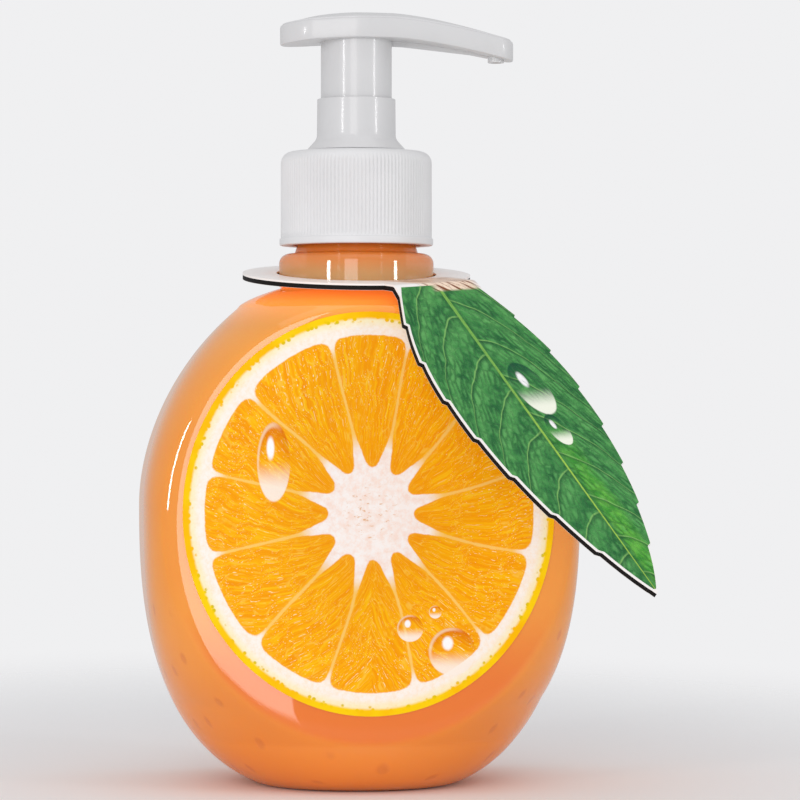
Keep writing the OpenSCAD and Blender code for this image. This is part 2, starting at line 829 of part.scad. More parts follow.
// Head: side outline and plan outline; the body of the head is where the two prisms meet.
tail_r = head_w / 2 - 1;
tail_drop = 1.2;
level_from = 2;
level_to = 7.5;
function side_edge(x) =
    x < level_to
    ? edge_z - tail_drop * pow(min(0, x - level_from) / (tail_l + level_from), 2)
    : edge_z - spout_drop * pow((x - level_to) / (spout_l - level_to), 1.5);
module side_outline(low, high) {
    xs = [for (i = [0:16]) -tail_l + (spout_l + tail_l) * i / 16];
    top = [for (x = xs) [x, side_edge(x) + high]];
    under = [for (i = [16:-1:0]) [xs[i], side_edge(xs[i]) + low]];
    polygon(concat(top, under));
}
module plan_outline(inset) {
    hull() {
        circle(r = head_w / 2 - inset, $fn = 48);
        translate([tail_r - tail_l, 0])
            circle(r = tail_r - inset, $fn = 48);
        translate([spout_l - tip_w / 2, 0])
            circle(r = tip_w / 2 - inset, $fn = 48);
    }
}
module head_prism(low, high) {
    rotate([90, 0, 0])
        translate([0, 0, -head_w])
            linear_extrude(height = 2 * head_w)
                side_outline(low, high);
}

module actuator_head() {
    mouth_x = spout_l - mouth_in;
    mouth_z = side_edge(mouth_x) - side_h;
    duct_z = edge_z - 0.36 * side_h;
    duct_fall = atan2(duct_z - mouth_z - side_h / 2, mouth_x);
    color([0.95, 0.95, 0.96])
        difference() {
            union() {
                intersection() {
                    head_prism(-side_h, 0);
                    translate([0, 0, skirt_low_z])
                        linear_extrude(height = 2 * skirt_h)
                            plan_outline(0);
                }
                translate([0, 0, skirt_low_z])
                    cylinder(d = skirt_d, h = edge_z - side_h / 2 - skirt_low_z);
                translate([mouth_x, 0, mouth_z - mouth_l])
                    cylinder(d = mouth_d, h = mouth_l + 1);
            }
            difference() {
                translate([0, 0, skirt_low_z - 1])
                    cylinder(d = skirt_d - 2 * skirt_wall, h = stem_top_z - skirt_low_z + 0.6);
                translate([0, 0, skirt_low_z + 2])
                    cylinder(d = stem_d + 2 * boss_wall, h = skirt_h);
            }
            translate([0, 0, skirt_low_z - 1])
                cylinder(d = stem_d, h = stem_top_z - skirt_low_z + 1);
            translate([0, 0, stem_top_z - 1])
                cylinder(d = stem_bore, h = duct_z - stem_top_z + 1);
            translate([0, 0, duct_z])
                rotate([0, 90 + duct_fall, 0])
                    cylinder(d = mouth_bore, h = mouth_x / cos(duct_fall));
            translate([mouth_x, 0, mouth_z - mouth_l - 1])
                cylinder(d = mouth_bore, h = mouth_l + 1 + side_h / 2);
        }
}

// Crown of the cover: its height over the side edge at x, highest on the axis.
cover_edge = 0.5;
cover_rim = 0.3;
function crown(x) =
    let (reach = (x < 0 ? tail_l : spout_l) - cover_edge)
    crown_h * (1 - pow(abs(x) / reach, 2));

module head_cover() {
    ends = [cover_edge - tail_l, spout_l - cover_edge];
    xs = [for (i = [0:20]) ends[0] + (ends[1] - ends[0]) * i / 20];
    top = [for (x = xs) [x, side_edge(x) + cover_rim + crown(x)]];
    under = [for (i = [20:-1:0]) [xs[i], side_edge(xs[i])]];
    half = head_w / 2;
    camber = [for (i = [-6:6]) [half * i / 6, cover_rim + crown_h * (1 - pow(i / 6, 2))]];
    color([0.97, 0.97, 0.98])
        intersection() {
            rotate([90, 0, 0])
                translate([0, 0, -head_w])
                    linear_extrude(height = 2 * head_w)
                        polygon(concat(top, under));
            translate([0, 0, edge_z - side_h - spout_drop])
                linear_extrude(height = 3 * side_h + spout_drop)
                    plan_outline(cover_edge);
            translate([-2 * tail_l, 0, edge_z])
                rotate([90, 0, 90])
                    linear_extrude(height = 2 * (tail_l + spout_l))
                        polygon(concat([[half, -2 * spout_drop], [-half, -2 * spout_drop]], camber));
        }
}

bottle_shell();
soap_fill();
label_film();
label_rind();
label_pulp();
tag_card();
tag_backing();
leaf_print();
closure_cap();
collar();
pump_housing();
neck_gasket();
dip_tube();
inlet_ball();
return_spring();
stem();
piston();
piston_seat();
actuator_head();
head_cover();
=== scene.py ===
"""Dresses a liquid soap bottle: a full clear body, a fruit label, a leaf tag and a lotion pump.

Lengths in the classes are millimetres in the part's own frame: +Z up the pump's axis, the label
towards -Y and the spout towards +X. Meshes are written in metres.
"""

import logging
import math
from dataclasses import dataclass, field
from enum import Enum
from typing import Any, Callable, Sequence

import bpy
import numpy as np
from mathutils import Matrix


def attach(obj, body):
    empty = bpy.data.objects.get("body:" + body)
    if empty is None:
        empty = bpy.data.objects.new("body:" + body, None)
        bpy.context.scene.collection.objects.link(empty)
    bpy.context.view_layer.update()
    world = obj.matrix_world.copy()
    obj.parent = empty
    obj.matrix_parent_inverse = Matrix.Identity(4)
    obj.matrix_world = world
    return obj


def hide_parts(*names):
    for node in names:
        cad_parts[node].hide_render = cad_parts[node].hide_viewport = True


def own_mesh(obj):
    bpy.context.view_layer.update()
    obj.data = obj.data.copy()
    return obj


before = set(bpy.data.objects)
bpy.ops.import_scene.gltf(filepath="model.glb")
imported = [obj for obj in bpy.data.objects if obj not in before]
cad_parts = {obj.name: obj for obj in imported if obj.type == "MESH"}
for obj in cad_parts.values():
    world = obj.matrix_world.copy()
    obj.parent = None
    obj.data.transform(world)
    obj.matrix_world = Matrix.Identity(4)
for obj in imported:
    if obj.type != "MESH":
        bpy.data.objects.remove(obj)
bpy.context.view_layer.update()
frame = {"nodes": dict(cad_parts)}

LOG = logging.getLogger("soap_bottle")
MM = 0.001
THREAD_LOW = 119.6
THREAD_PITCH = 4.23
Colour = tuple[float, float, float]


def srgb(red: float, green: float, blue: float) -> Colour:
    """Turns a colour as seen on a screen, 0 to 255, into linear light.

    Args:
        red: red, 0 to 255.
        green: green, 0 to 255.
        blue: blue, 0 to 255.

    Returns:
        The linear colour, 0 to 1: the usual power of 2.4 above a short straight foot.
    """
    c = np.array([red, green, blue]) / 255.0
    lin = np.where(c <= 0.04045, c / 12.92, ((c + 0.055) / 1.055) ** 2.4)
    return float(lin[0]), float(lin[1]), float(lin[2])


# --------------------------------------------------------------------- meshes


@dataclass
class Surface:
    """Points and faces of a closed or open surface, in millimetres."""

    points: np.ndarray
    faces: list[np.ndarray] = field(default_factory=list)

    def joined(self, other: "Surface") -> "Surface":
        """Puts another surface beside this one in the same mesh.

        Args:
            other: the surface that is added.

        Returns:
            One surface that holds both.
        """
        shift = len(self.points)
        return Surface(
            np.concatenate([self.points, other.points]),
            self.faces + [f + shift for f in other.faces],
        )


def ring_faces(rows: int, cols: int) -> np.ndarray:
    """Gives the four-sided faces of rows of closed rings, facing out where rows rise anticlockwise.

    Args:
        rows: number of rings.
        cols: points in each ring.

    Returns:
        An array of shape (faces, 4).
    """
    r, c = np.meshgrid(np.arange(rows - 1), np.arange(cols), indexing="ij")
    right = (c + 1) % cols
    quads = np.stack([r * cols + c, r * cols + right, (r + 1) * cols + right, (r + 1) * cols + c], -1)
    return quads.reshape(-1, 4)


def fan(centre: int, ring: np.ndarray, outward_up: bool) -> np.ndarray:
    """Closes a ring with triangles to one point.

    Args:
        centre: index of the middle point.
        ring: indices of the ring's points, anticlockwise seen from above.
        outward_up: True if the fan faces up, False if it faces down.

    Returns:
        An array of shape (faces, 3).
    """
    a, b = ring, np.roll(ring, -1)
    mid = np.full(len(ring), centre)
    return np.stack([a, b, mid] if outward_up else [b, a, mid], -1)


def loft(rings: np.ndarray, foot: np.ndarray | None = None, crown: np.ndarray | None = None) -> Surface:
    """Skins a stack of closed rings and closes its ends.

    Args:
        rings: points of shape (rings, points, 3), each ring anticlockwise seen from the far end.
        foot: a point that closes the first ring, or None to leave it open.
        crown: a point that closes the last ring, or None to leave it open.

    Returns:
        The surface.
    """
    rows, cols, _ = rings.shape
    points = [rings.reshape(-1, 3)]
    faces = [ring_faces(rows, cols)]
    total = rows * cols
    if foot is not None:
        points.append(np.reshape(foot, (1, 3)))
        faces.append(fan(total, np.arange(cols), False))
        total += 1
    if crown is not None:
        points.append(np.reshape(crown, (1, 3)))
        faces.append(fan(total, np.arange((rows - 1) * cols, rows * cols), True))
    return Surface(np.concatenate(points), faces)


def closed_loft(rings: np.ndarray) -> Surface:
    """Skins a stack of rings whose last ring joins its first, as on a hollow turned part.

    Args:
        rings: points of shape (rings, points, 3).

    Returns:
        The surface, with no open edge.
    """
    rows, cols, _ = rings.shape
    r, c = np.meshgrid(np.arange(rows), np.arange(cols), indexing="ij")
    up, right = (r + 1) % rows, (c + 1) % cols
    quads = np.stack([r * cols + c, r * cols + right, up * cols + right, up * cols + c], -1)
    return Surface(rings.reshape(-1, 3), [quads.reshape(-1, 4)])


def rounded_path(corners: Sequence[tuple[float, float, float]], steps: int = 6) -> np.ndarray:
    """Rounds the corners of a path of radius and height.

    Each corner is replaced by an arc that touches both of its sides.

    Args:
        corners: (radius, height, corner radius) of each corner, in order.
        steps: intervals on each arc.

    Returns:
        Points of shape (points, 2).
    """
    pts = np.array([c[:2] for c in corners], float)
    out: list[np.ndarray] = []
    for i, (x, z, r) in enumerate(corners):
        before, after = pts[i - 1], pts[(i + 1) % len(pts)]
        here = np.array([x, z])
        if r <= 0:
            out.append(here[None])
            continue
        a = (before - here) / np.linalg.norm(before - here)
        b = (after - here) / np.linalg.norm(after - here)
        half = math.acos(np.clip(a @ b, -1, 1)) / 2
        reach = r / math.tan(half)
        start, end = here + a * reach, here + b * reach
        centre = here + (a + b) / np.linalg.norm(a + b) * r / math.sin(half)
        t = np.linspace(0, 1, steps + 1)[:, None]
        from_c, to_c = start - centre, end - centre
        sweep = math.acos(np.clip(from_c @ to_c / (r * r), -1, 1))
        if sweep < 1e-6:
            out.append(here[None])
            continue
        arc = (np.sin((1 - t) * sweep) * from_c + np.sin(t * sweep) * to_c) / math.sin(sweep)
        out.append(centre + arc)
    return np.concatenate(out)


def turned(path: np.ndarray, sides: int = 128) -> Surface:
    """Turns a closed path of radius and height about the Z axis.

    Args:
        path: points (radius, height), running anticlockwise in the radius-height plane.
        sides: points round the axis.

    Returns:
        The closed surface x = radius cos a, y = radius sin a.
    """
    a = np.arange(sides) * 2 * np.pi / sides
    rings = np.stack(
        [path[:, :1] * np.cos(a), path[:, :1] * np.sin(a), np.repeat(path[:, 1:], sides, 1)], -1
    )
    return closed_loft(rings)


def build_object(name: str, surface: Surface, material: bpy.types.Material,
                 sharp_deg: float = 40.0) -> bpy.types.Object:
    """Makes a Blender object from a surface.

    Args:
        name: the object's name.
        surface: its points and faces, in millimetres.
        material: its finish.
        sharp_deg: edges that bend more than this stay sharp.

    Returns:
        The new object, at the origin.
    """
    mesh = bpy.data.meshes.new(name)
    faces = [f for block in surface.faces for f in block.tolist()]
    mesh.from_pydata((surface.points * MM).tolist(), [], faces)
    mesh.update()
    mesh.shade_smooth()
    mesh.set_sharp_from_angle(angle=math.radians(sharp_deg))
    mesh.materials.append(material)
    obj = bpy.data.objects.new(name, mesh)
    bpy.context.scene.collection.objects.link(obj)
    return obj


# ------------------------------------------------------------------- shaders


Feed = Any


class Graph:
    """Short ways to write a shader's node tree."""

    def __init__(self, tree: bpy.types.NodeTree) -> None:
        """Keeps the tree that the nodes go into."""
        self.tree = tree

    def node(self, kind: str, **settings: Any) -> bpy.types.Node:
        """Adds a node and sets its properties.

        Args:
            kind: the node's type name.
            **settings: its properties.

        Returns:
            The node.
        """
        n = self.tree.nodes.new(kind)
        for key, value in settings.items():
            setattr(n, key, value)
        return n

    def feed(self, socket: bpy.types.NodeSocket, value: Feed) -> None:
        """Links a socket to another, or sets its own value.

        Args:
            socket: the input.
            value: an output socket, a number, a vector or a colour.
        """
        if isinstance(value, bpy.types.NodeSocket):
            self.tree.links.new(value, socket)
        elif isinstance(value, (tuple, list)) and len(value) == 3 and len(socket.default_value) == 4:
            socket.default_value = (*value, 1.0)
        else:
            socket.default_value = value

    def maths(self, operation: str, *args: Feed, clamp: bool = False) -> bpy.types.NodeSocket:
        """Adds a Math node.

        Args:
            operation: its operation.
            *args: up to three inputs.
            clamp: True to keep the result in 0 to 1.

        Returns:
            Its output.
        """
        n = self.node("ShaderNodeMath", operation=operation, use_clamp=clamp)
        for socket, value in zip(n.inputs, args):
            self.feed(socket, value)
        return n.outputs[0]

    def times(self, first: Feed, second: Feed) -> bpy.types.NodeSocket:
        """Multiplies two numbers."""
        return self.maths("MULTIPLY", first, second)

    def plus(self, first: Feed, second: Feed) -> bpy.types.NodeSocket:
        """Adds two numbers."""
        return self.maths("ADD", first, second)

    def minus(self, first: Feed, second: Feed) -> bpy.types.NodeSocket:
        """Takes the second number from the first."""
        return self.maths("SUBTRACT", first, second)

    def over(self, first: Feed, second: Feed) -> bpy.types.NodeSocket:
        """Divides the first number by the second."""
        return self.maths("DIVIDE", first, second)

    def vector(self, operation: str, *args: Feed) -> bpy.types.NodeSocket:
        """Adds a Vector Math node and gives its vector, or its number for a dot product or length."""
        n = self.node("ShaderNodeVectorMath", operation=operation)
        for socket, value in zip(n.inputs, args):
            self.feed(socket, value)
        return n.outputs["Value" if operation in ("DOT_PRODUCT", "LENGTH", "DISTANCE") else "Vector"]

    def step(self, value: Feed, low: float, high: float) -> bpy.types.NodeSocket:
        """Rises smoothly from 0 where the value is low to 1 where it is high."""
        n = self.node("ShaderNodeMapRange", interpolation_type="SMOOTHSTEP")
        rising = low <= high
        self.feed(n.inputs["Value"], value)
        n.inputs["From Min"].default_value = low if rising else high
        n.inputs["From Max"].default_value = high if rising else low
        n.inputs["To Min"].default_value = 0.0 if rising else 1.0
        n.inputs["To Max"].default_value = 1.0 if rising else 0.0
        return n.outputs["Result"]

    def mix(self, share: Feed, first: Feed, second: Feed) -> bpy.types.NodeSocket:
        """Mixes two colours.

        Args:
            share: how much of the second, 0 to 1.
            first: the first colour.
            second: the second colour.

        Returns:
            The mixed colour.
        """
        n = self.node("ShaderNodeMix", data_type="RGBA")
        self.feed(n.inputs[0], share)
        self.feed(n.inputs[6], first)
        self.feed(n.inputs[7], second)
        return n.outputs[2]

    def place(self) -> bpy.types.NodeSocket:
        """Gives the point on the object in millimetres."""
        co = self.node("ShaderNodeTexCoord").outputs["Object"]
        n = self.node("ShaderNodeVectorMath", operation="SCALE")
        self.feed(n.inputs[0], co)
        n.inputs["Scale"].default_value = 1 / MM
        return n.outputs[0]

    def split(self, vector: Feed) -> tuple[bpy.types.NodeSocket, bpy.types.NodeSocket, bpy.types.NodeSocket]:
        """Gives a vector's three numbers."""
        n = self.node("ShaderNodeSeparateXYZ")
        self.feed(n.inputs[0], vector)
        return n.outputs[0], n.outputs[1], n.outputs[2]

    def join(self, x: Feed, y: Feed, z: Feed = 0.0) -> bpy.types.NodeSocket:
        """Makes a vector of three numbers."""
        n = self.node("ShaderNodeCombineXYZ")
        for socket, value in zip(n.inputs, (x, y, z)):
            self.feed(socket, value)
        return n.outputs[0]

    def noise(self, where: Feed, scale: float, detail: float = 2.0, rough: float = 0.5) -> bpy.types.NodeSocket:
        """Gives soft noise, about 0.5 on average, with features of 1 / scale."""
        n = self.node("ShaderNodeTexNoise")
        self.feed(n.inputs["Vector"], where)
        n.inputs["Scale"].default_value = scale
        n.inputs["Detail"].default_value = detail
        n.inputs["Roughness"].default_value = rough
        return n.outputs["Fac"]

    def cells(self, where: Feed, scale: float, edges: bool = False, spread: float = 1.0,
              flat: bool = False) -> bpy.types.NodeSocket:
        """Gives the distance in a pattern of cells.

        Args:
            where: the point.
            scale: cells to a unit of length.
            edges: True for the distance to a cell's edge, False to its middle.
            spread: how irregular the cells are, 0 to 1.
            flat: True to use only the first two numbers of the point.

        Returns:
            The distance in cells.
        """
        n = self.node("ShaderNodeTexVoronoi", feature="DISTANCE_TO_EDGE" if edges else "F1")
        n.voronoi_dimensions = "2D" if flat else "3D"
        self.feed(n.inputs["Vector"], where)
        n.inputs["Scale"].default_value = scale
        n.inputs["Randomness"].default_value = spread
        return n.outputs["Distance"]

    def cell_shade(self, where: Feed) -> bpy.types.NodeSocket:
        """Gives each cell of a pattern one cell to a unit, flat in its third number, a shade of its own."""
        n = self.node("ShaderNodeTexVoronoi", feature="F1")
        n.voronoi_dimensions = "2D"
        self.feed(n.inputs["Vector"], where)
        n.inputs["Scale"].default_value = 1.0
        return self.maths("MULTIPLY", n.outputs["Color"], 1.0)

    def group(self, group: bpy.types.NodeTree, **inputs: Feed) -> bpy.types.Node:
        """Places a node group and feeds its inputs by name, with spaces written as underscores."""
        n = self.node("ShaderNodeGroup", node_tree=group)
        for key, value in inputs.items():
            self.feed(n.inputs[key.replace("_", " ")], value)
        return n

    def bump(self, height: Feed, distance: float, strength: float = 1.0) -> bpy.types.NodeSocket:
        """Turns a height, 0 to 1, of the given distance in metres into a normal."""
        n = self.node("ShaderNodeBump")
        self.feed(n.inputs["Height"], height)
        n.inputs["Distance"].default_value = distance
        n.inputs["Strength"].default_value = strength
        return n.outputs["Normal"]


def new_group(name: str, takes: dict[str, float | None],
              gives: Sequence[str]) -> tuple[bpy.types.NodeTree, Graph, Any, Any]:
    """Starts a node group.

    Args:
        name: the group's name.
        takes: its inputs and their default values; a default of None is a vector.
        gives: its outputs, all numbers.

    Returns:
        The tree, its graph, the input node's outputs and the output node's inputs.
    """
    tree = bpy.data.node_groups.new(name, "ShaderNodeTree")
    for key, value in takes.items():
        kind = "NodeSocketVector" if value is None else "NodeSocketFloat"
        socket = tree.interface.new_socket(name=key, in_out="INPUT", socket_type=kind)
        if value is not None:
            socket.default_value = value
    for key in gives:
        tree.interface.new_socket(name=key, in_out="OUTPUT", socket_type="NodeSocketFloat")
    g = Graph(tree)
    return tree, g, g.node("NodeGroupInput").outputs, g.node("NodeGroupOutput").inputs


def moulded_skin_group() -> bpy.types.NodeTree:
    """Builds the fine unevenness of moulded plastic and coated card.

    Returns:
        A group with a slow mottle and a fine grain, both near 0.5 on average.
    """
    tree, g, took, give = new_group("moulded_skin", {"Point": None, "Mottle Size": 9.0, "Grain Size": 0.35},
                                    ("Mottle", "Grain"))
    for size, out, detail in (("Mottle Size", "Mottle", 2.0), ("Grain Size", "Grain", 3.0)):
        n = g.node("ShaderNodeTexNoise")
        g.feed(n.inputs["Vector"], took["Point"])
        g.feed(n.inputs["Scale"], g.over(1.0, took[size]))
        n.inputs["Detail"].default_value = detail
        g.feed(give[out], n.outputs["Fac"])
    return tree


def dew_drop_group() -> bpy.types.NodeTree:
    """Builds a printed water drop: a dark rim at the top, a pale pool at the bottom and a white glint.

    Returns:
        A group that takes a point in the drop's own units, where its edge lies at a distance of 1
        from its middle and up is +Y, and gives the masks of rim, pool, glint and bright outline.
    """
    tree, g, took, give = new_group("dew_drop", {"Across": 0.0, "Up": 0.0}, ("Rim", "Pool", "Glint", "Line"))
    x, y = took["Across"], took["Up"]
    radius = g.vector("LENGTH", g.join(x, y))
    inside = g.step(radius, 1.0, 0.93)
    high = g.step(y, -0.25, 0.85)
    low = g.step(y, 0.05, -0.7)
    edge = g.step(radius, 0.25, 1.0)
    g.feed(give["Rim"], g.times(inside, g.times(high, edge)))
    g.feed(give["Pool"], g.times(inside, low))
    thin = g.times(g.step(radius, 0.8, 0.9), inside)
    g.feed(give["Line"], g.times(thin, g.step(g.minus(y, x), 0.2, 1.1)))
    spot = g.vector("LENGTH", g.join(g.times(g.plus(x, 0.18), 3.6),
                                     g.times(g.minus(y, 0.34), 2.9)))
    g.feed(give["Glint"], g.times(inside, g.step(spot, 1.0, 0.55)))
    return tree


@dataclass(frozen=True)
class Gloss:
    """Numbers of a finish that are the same all over the surface."""

    rough: float = 0.35
    metal: float = 0.0
    coat: float = 0.0
    coat_rough: float = 0.05
    specular: float = 0.5
    subsurface: float = 0.0
    radius_mm: float = 1.0


class Finishes:
    """All materials of the bottle and its pump."""

    def __init__(self) -> None:
        """Builds the node groups that several materials share."""
        self.skin = moulded_skin_group()
        self.drop = dew_drop_group()

    def start(self, name: str, gloss: Gloss) -> tuple[bpy.types.Material, Graph, bpy.types.Node]:
        """Starts a material.

        Args:
            name: its name.
            gloss: its plain numbers.

        Returns:
            The material, its graph and its surface shader.
        """
        mat = bpy.data.materials.new(name)
        mat.use_nodes = True
        g = Graph(mat.node_tree)
        shader = next(n for n in mat.node_tree.nodes if n.type == "BSDF_PRINCIPLED")
        shader.inputs["Roughness"].default_value = gloss.rough
        shader.inputs["Metallic"].default_value = gloss.metal
        shader.inputs["Coat Weight"].default_value = gloss.coat
        shader.inputs["Coat Roughness"].default_value = gloss.coat_rough
        shader.inputs["Specular IOR Level"].default_value = gloss.specular
        shader.inputs["Subsurface Weight"].default_value = gloss.subsurface
        shader.inputs["Subsurface Scale"].default_value = gloss.radius_mm * MM
        return mat, g, shader

    def moulded(self, name: str, colour: Colour, gloss: Gloss, mottle: float = 0.04, grain: float = 0.02,
                grain_size: float = 0.35) -> bpy.types.Material:
        """Makes moulded plastic, rubber or metal of one colour with a slight unevenness.

        Args:
            name: the material's name.
            colour: its linear colour.
            gloss: its plain numbers.
            mottle: how far the colour wanders.
            grain: height of the fine grain in millimetres.
            grain_size: width of the fine grain in millimetres.

        Returns:
            The material.
        """
        mat, g, shader = self.start(name, gloss)
        skin = g.group(self.skin, Point=g.place(), Grain_Size=grain_size)
        dark = tuple(c * (1 - mottle * 2) for c in colour)
        g.feed(shader.inputs["Base Color"], g.mix(g.step(skin.outputs["Mottle"], 0.3, 0.7), dark, colour))
        wander = g.maths("MULTIPLY_ADD", skin.outputs["Mottle"], 0.12, gloss.rough - 0.06)
        g.feed(shader.inputs["Roughness"], wander)
        g.feed(shader.inputs["Normal"], g.bump(skin.outputs["Grain"], grain * MM, 0.4))
        return mat


# ---------------------------------------------------------------- bottle body


@dataclass(frozen=True)
class BottleBody:
    """The blown body with its flat bowed panels, its rim, its foot, its neck and its bead."""

    width: float = 94.6
    depth: float = 60.0
    wide_z: float = 61.1
    top_reach: float = 53.6
    low_reach: float = 64.25
    top_power: float = 1.82
    low_power: float = 2.69
    wall: float = 0.9
    base_depth: float = 40.0
    push_up: float = 3.0
    foot_width: float = 3.0
    crease_width: float = 87.6
    crease_height: float = 93.2
    crease_mid: float = 57.1
    bow: float = 230.0
    lean_deg: float = 2.0
    rim_power: float = 5.0
    shoulder_power: float = 2.0
    side_power: float = 2.2
    neck_z: float = 108.3
    neck_foot: float = 16.4
    bead: float = 17.0
    bead_top: float = 115.8
    bead_round: float = 2.2
    thread_root: float = 12.7
    thread_crest: float = 13.75
    thread_turns: float = 1.9
    neck_top: float = 133.4
    bore: float = 11.0
    crease_ease: float = 0.7
    rim_steps: int = 26
    panel_steps: int = 44

    @property
    def crease_top(self) -> float:
        """Height of the crease's highest point."""
        return self.crease_mid + self.crease_height / 2

    @property
    def crease_low(self) -> float:
        """Height of the crease's lowest point."""
        return self.crease_mid - self.crease_height / 2

    def half_width(self, z: np.ndarray) -> np.ndarray:
        """Half width at height z: two superellipses that meet at the widest level."""
        high = z > self.wide_z
        reach = np.where(high, self.top_reach, self.low_reach)
        power = np.where(high, self.top_power, self.low_power)
        return self.width / 2 * (1 - (np.abs(z - self.wide_z) / reach) ** power) ** (1 / power)

    def panel(self, x: np.ndarray, z: np.ndarray) -> np.ndarray:
        """Depth of the bowed panel, an arc from side to side that leans in towards the top."""
        lean = math.tan(math.radians(self.lean_deg))
        return self.depth / 2 - self.bow + np.sqrt(self.bow**2 - x**2) - lean * (z - self.crease_mid)

    def crease_half(self, z: np.ndarray) -> np.ndarray:
        """Half width of the crease's ellipse at height z, 0 outside it."""
        t = (z - self.crease_mid) / (self.crease_height / 2)
        return self.crease_width / 2 * np.sqrt(np.clip(1 - t**2, 0, None))

    def rim_q(self, z: np.ndarray) -> np.ndarray:
        """Squareness of the rim from front to back, highest at the widest level."""
        share = np.minimum(1, np.abs(z - self.wide_z) / (self.crease_top - self.wide_z))
        return self.rim_power + (self.shoulder_power - self.rim_power) * share**2

    def rim_share(self, x: np.ndarray, z: np.ndarray) -> np.ndarray:
        """Share of the rim's depth that is left at x: (1 - |x / w|^p)^(1 / q)."""
        t = np.clip(1 - (np.abs(x) / self.half_width(z)) ** self.side_power, 0, None)
        return t ** (1 / self.rim_q(z))

    def rim_mid(self, z: np.ndarray) -> np.ndarray:
        """Depth that the rim would have in the middle; under the crease it rounds in to the base."""
        seam = self.crease_half(z)
        over = self.panel(seam, z) / self.rim_share(seam, z)
        low = np.clip(1 - z / self.crease_low, 0, 1)
        edge = self.panel(np.zeros(1), np.array([self.crease_low]))[0]
        under = self.base_depth / 2 + (edge - self.base_depth / 2) * np.sqrt(1 - low**2)
        return np.where(z < self.crease_low, under, over)

    def skin(self, x: np.ndarray, z: np.ndarray) -> np.ndarray:
        """Depth of the skin: the lesser of panel and rim, with the crease between them eased."""
        a, b = self.panel(x, z), self.rim_mid(z) * self.rim_share(x, z)
        return (a + b - np.sqrt((a - b) ** 2 + self.crease_ease**2)) / 2

    def section(self, z: np.ndarray) -> np.ndarray:
        """Sections at several heights, anticlockwise from above, starting at +X.

        Args:
            z: heights of shape (levels,).

        Returns:
            Points of shape (levels, points, 2).
        """
        z = z[:, None]
        w = self.half_width(z)
        seam = np.maximum(self.crease_half(z), 0.25 * w)
        end = np.arccos((seam / w) ** (self.side_power / 2))
        crowd = 1 + (self.rim_q(z) - self.shoulder_power) / (self.rim_power - self.shoulder_power)
        k = np.arange(self.rim_steps + 1)[None] / self.rim_steps
        x_rim = w * np.cos(end * k**crowd) ** (2 / self.side_power)
        y_rim = self.skin(x_rim, z)
        y_rim = np.where(k == 0, 0, np.maximum(y_rim, 0))
        j = np.arange(1, self.panel_steps)[None] / self.panel_steps
        x_pan = seam * (1 - 2 * j)
        y_pan = self.skin(x_pan, z)
        front = np.stack([np.concatenate([x_rim, x_pan, -x_rim[:, ::-1]], 1),
                          np.concatenate([y_rim, y_pan, y_rim[:, ::-1]], 1)], -1)
        back = front[:, 1:-1] * [-1, -1]
        return np.concatenate([front, back], 1)

    def outer_rings(self) -> np.ndarray:
        """Rings of the outer skin from the base's middle to the neck's foot."""
        ring0 = self.section(np.zeros(1))[0]
        start = 1 - self.foot_width / (self.base_depth / 2)
        shares = np.array([0.12, 0.3, 0.5, 0.68, 0.8, start - 0.012, start, start + 0.012, 0.985])
        hollow = self.push_up * np.clip(1 - (shares / start) ** 2, 0, None)
        base = np.concatenate([ring0[None] * shares[:, None, None],
                               np.broadcast_to(hollow[:, None, None], (len(shares), len(ring0), 1))], -1)
        low = self.crease_low * (1 - np.cos(np.linspace(0, np.pi / 2, 25)[:-1]))
        mid = self.crease_mid - self.crease_height / 2 * np.cos(np.linspace(0, np.pi, 111))
        z = np.concatenate([low, mid])
        side = self.section(z)
        side = np.concatenate([side, np.broadcast_to(z[:, None, None], (*side.shape[:2], 1))], -1)
        top = side[-1, :, :2]
        far = np.linalg.norm(top, axis=1)[None]
        u = np.linspace(0, 1, 19)[1:, None]
        bend = 1.1 - 0.45 * (top[:, 0][None] / far) ** 2
        k = 1 - u + u * self.neck_foot / far
        rise = self.crease_top + (self.neck_z - self.crease_top) * u**bend
        shoulder = np.stack([top[:, 0] * k, top[:, 1] * k, rise], -1)
        return np.concatenate([base, side, shoulder])

    def neck_rings(self, ring: np.ndarray) -> np.ndarray:
        """Rings of the bead, the neck and its bore, in the directions of the last shoulder ring."""
        way = ring[:, :2] / np.linalg.norm(ring[:, :2], axis=1)[:, None]
        path = rounded_path([
            (self.neck_foot, self.neck_z, 0.0),
            (self.bead, self.neck_z + 0.25, 0.2),
            (self.bead, self.bead_top, self.bead_round),
            (self.thread_root + 0.9, self.bead_top, 0.5),
            (self.thread_root + 0.2, self.bead_top + 2.2, 0.4),
            (self.thread_root, self.neck_top, 0.5),
            (self.bore, self.neck_top, 0.5),
            (self.bore, self.neck_z, 0.0),
        ], steps=8)[1:]
        flat = way[None] * path[:, :1, None]
        return np.concatenate([flat, np.broadcast_to(path[:, 1, None, None], (*flat.shape[:2], 1))], -1)

    def surface(self) -> Surface:
        """The whole hollow body as one closed surface.

        The inner skin is the outer one drawn in by the wall, and both meet in the neck's bore.
        """
        outer = self.outer_rings()
        neck = self.neck_rings(outer[-1])
        t = self.wall
        shrink = np.array([1 - 2 * t / self.width, 1 - 2 * t / self.depth, 1 - 2 * t / self.neck_z])
        inner = outer * shrink + [0, 0, t]
        last = inner[-1, :, :2]
        inner[-1, :, :2] = last / np.linalg.norm(last, axis=1)[:, None] * self.bore
        rings = np.concatenate([outer, neck, inner[::-3]])
        surface = loft(rings, foot=np.array([0, 0, self.push_up]))
        points = np.concatenate([surface.points, [[0, 0, t + self.push_up * shrink[2]]]])
        count, cols = len(rings), rings.shape[1]
        closing = fan(len(points) - 1, np.arange((count - 1) * cols, count * cols), True)
        return Surface(points, surface.faces + [closing])

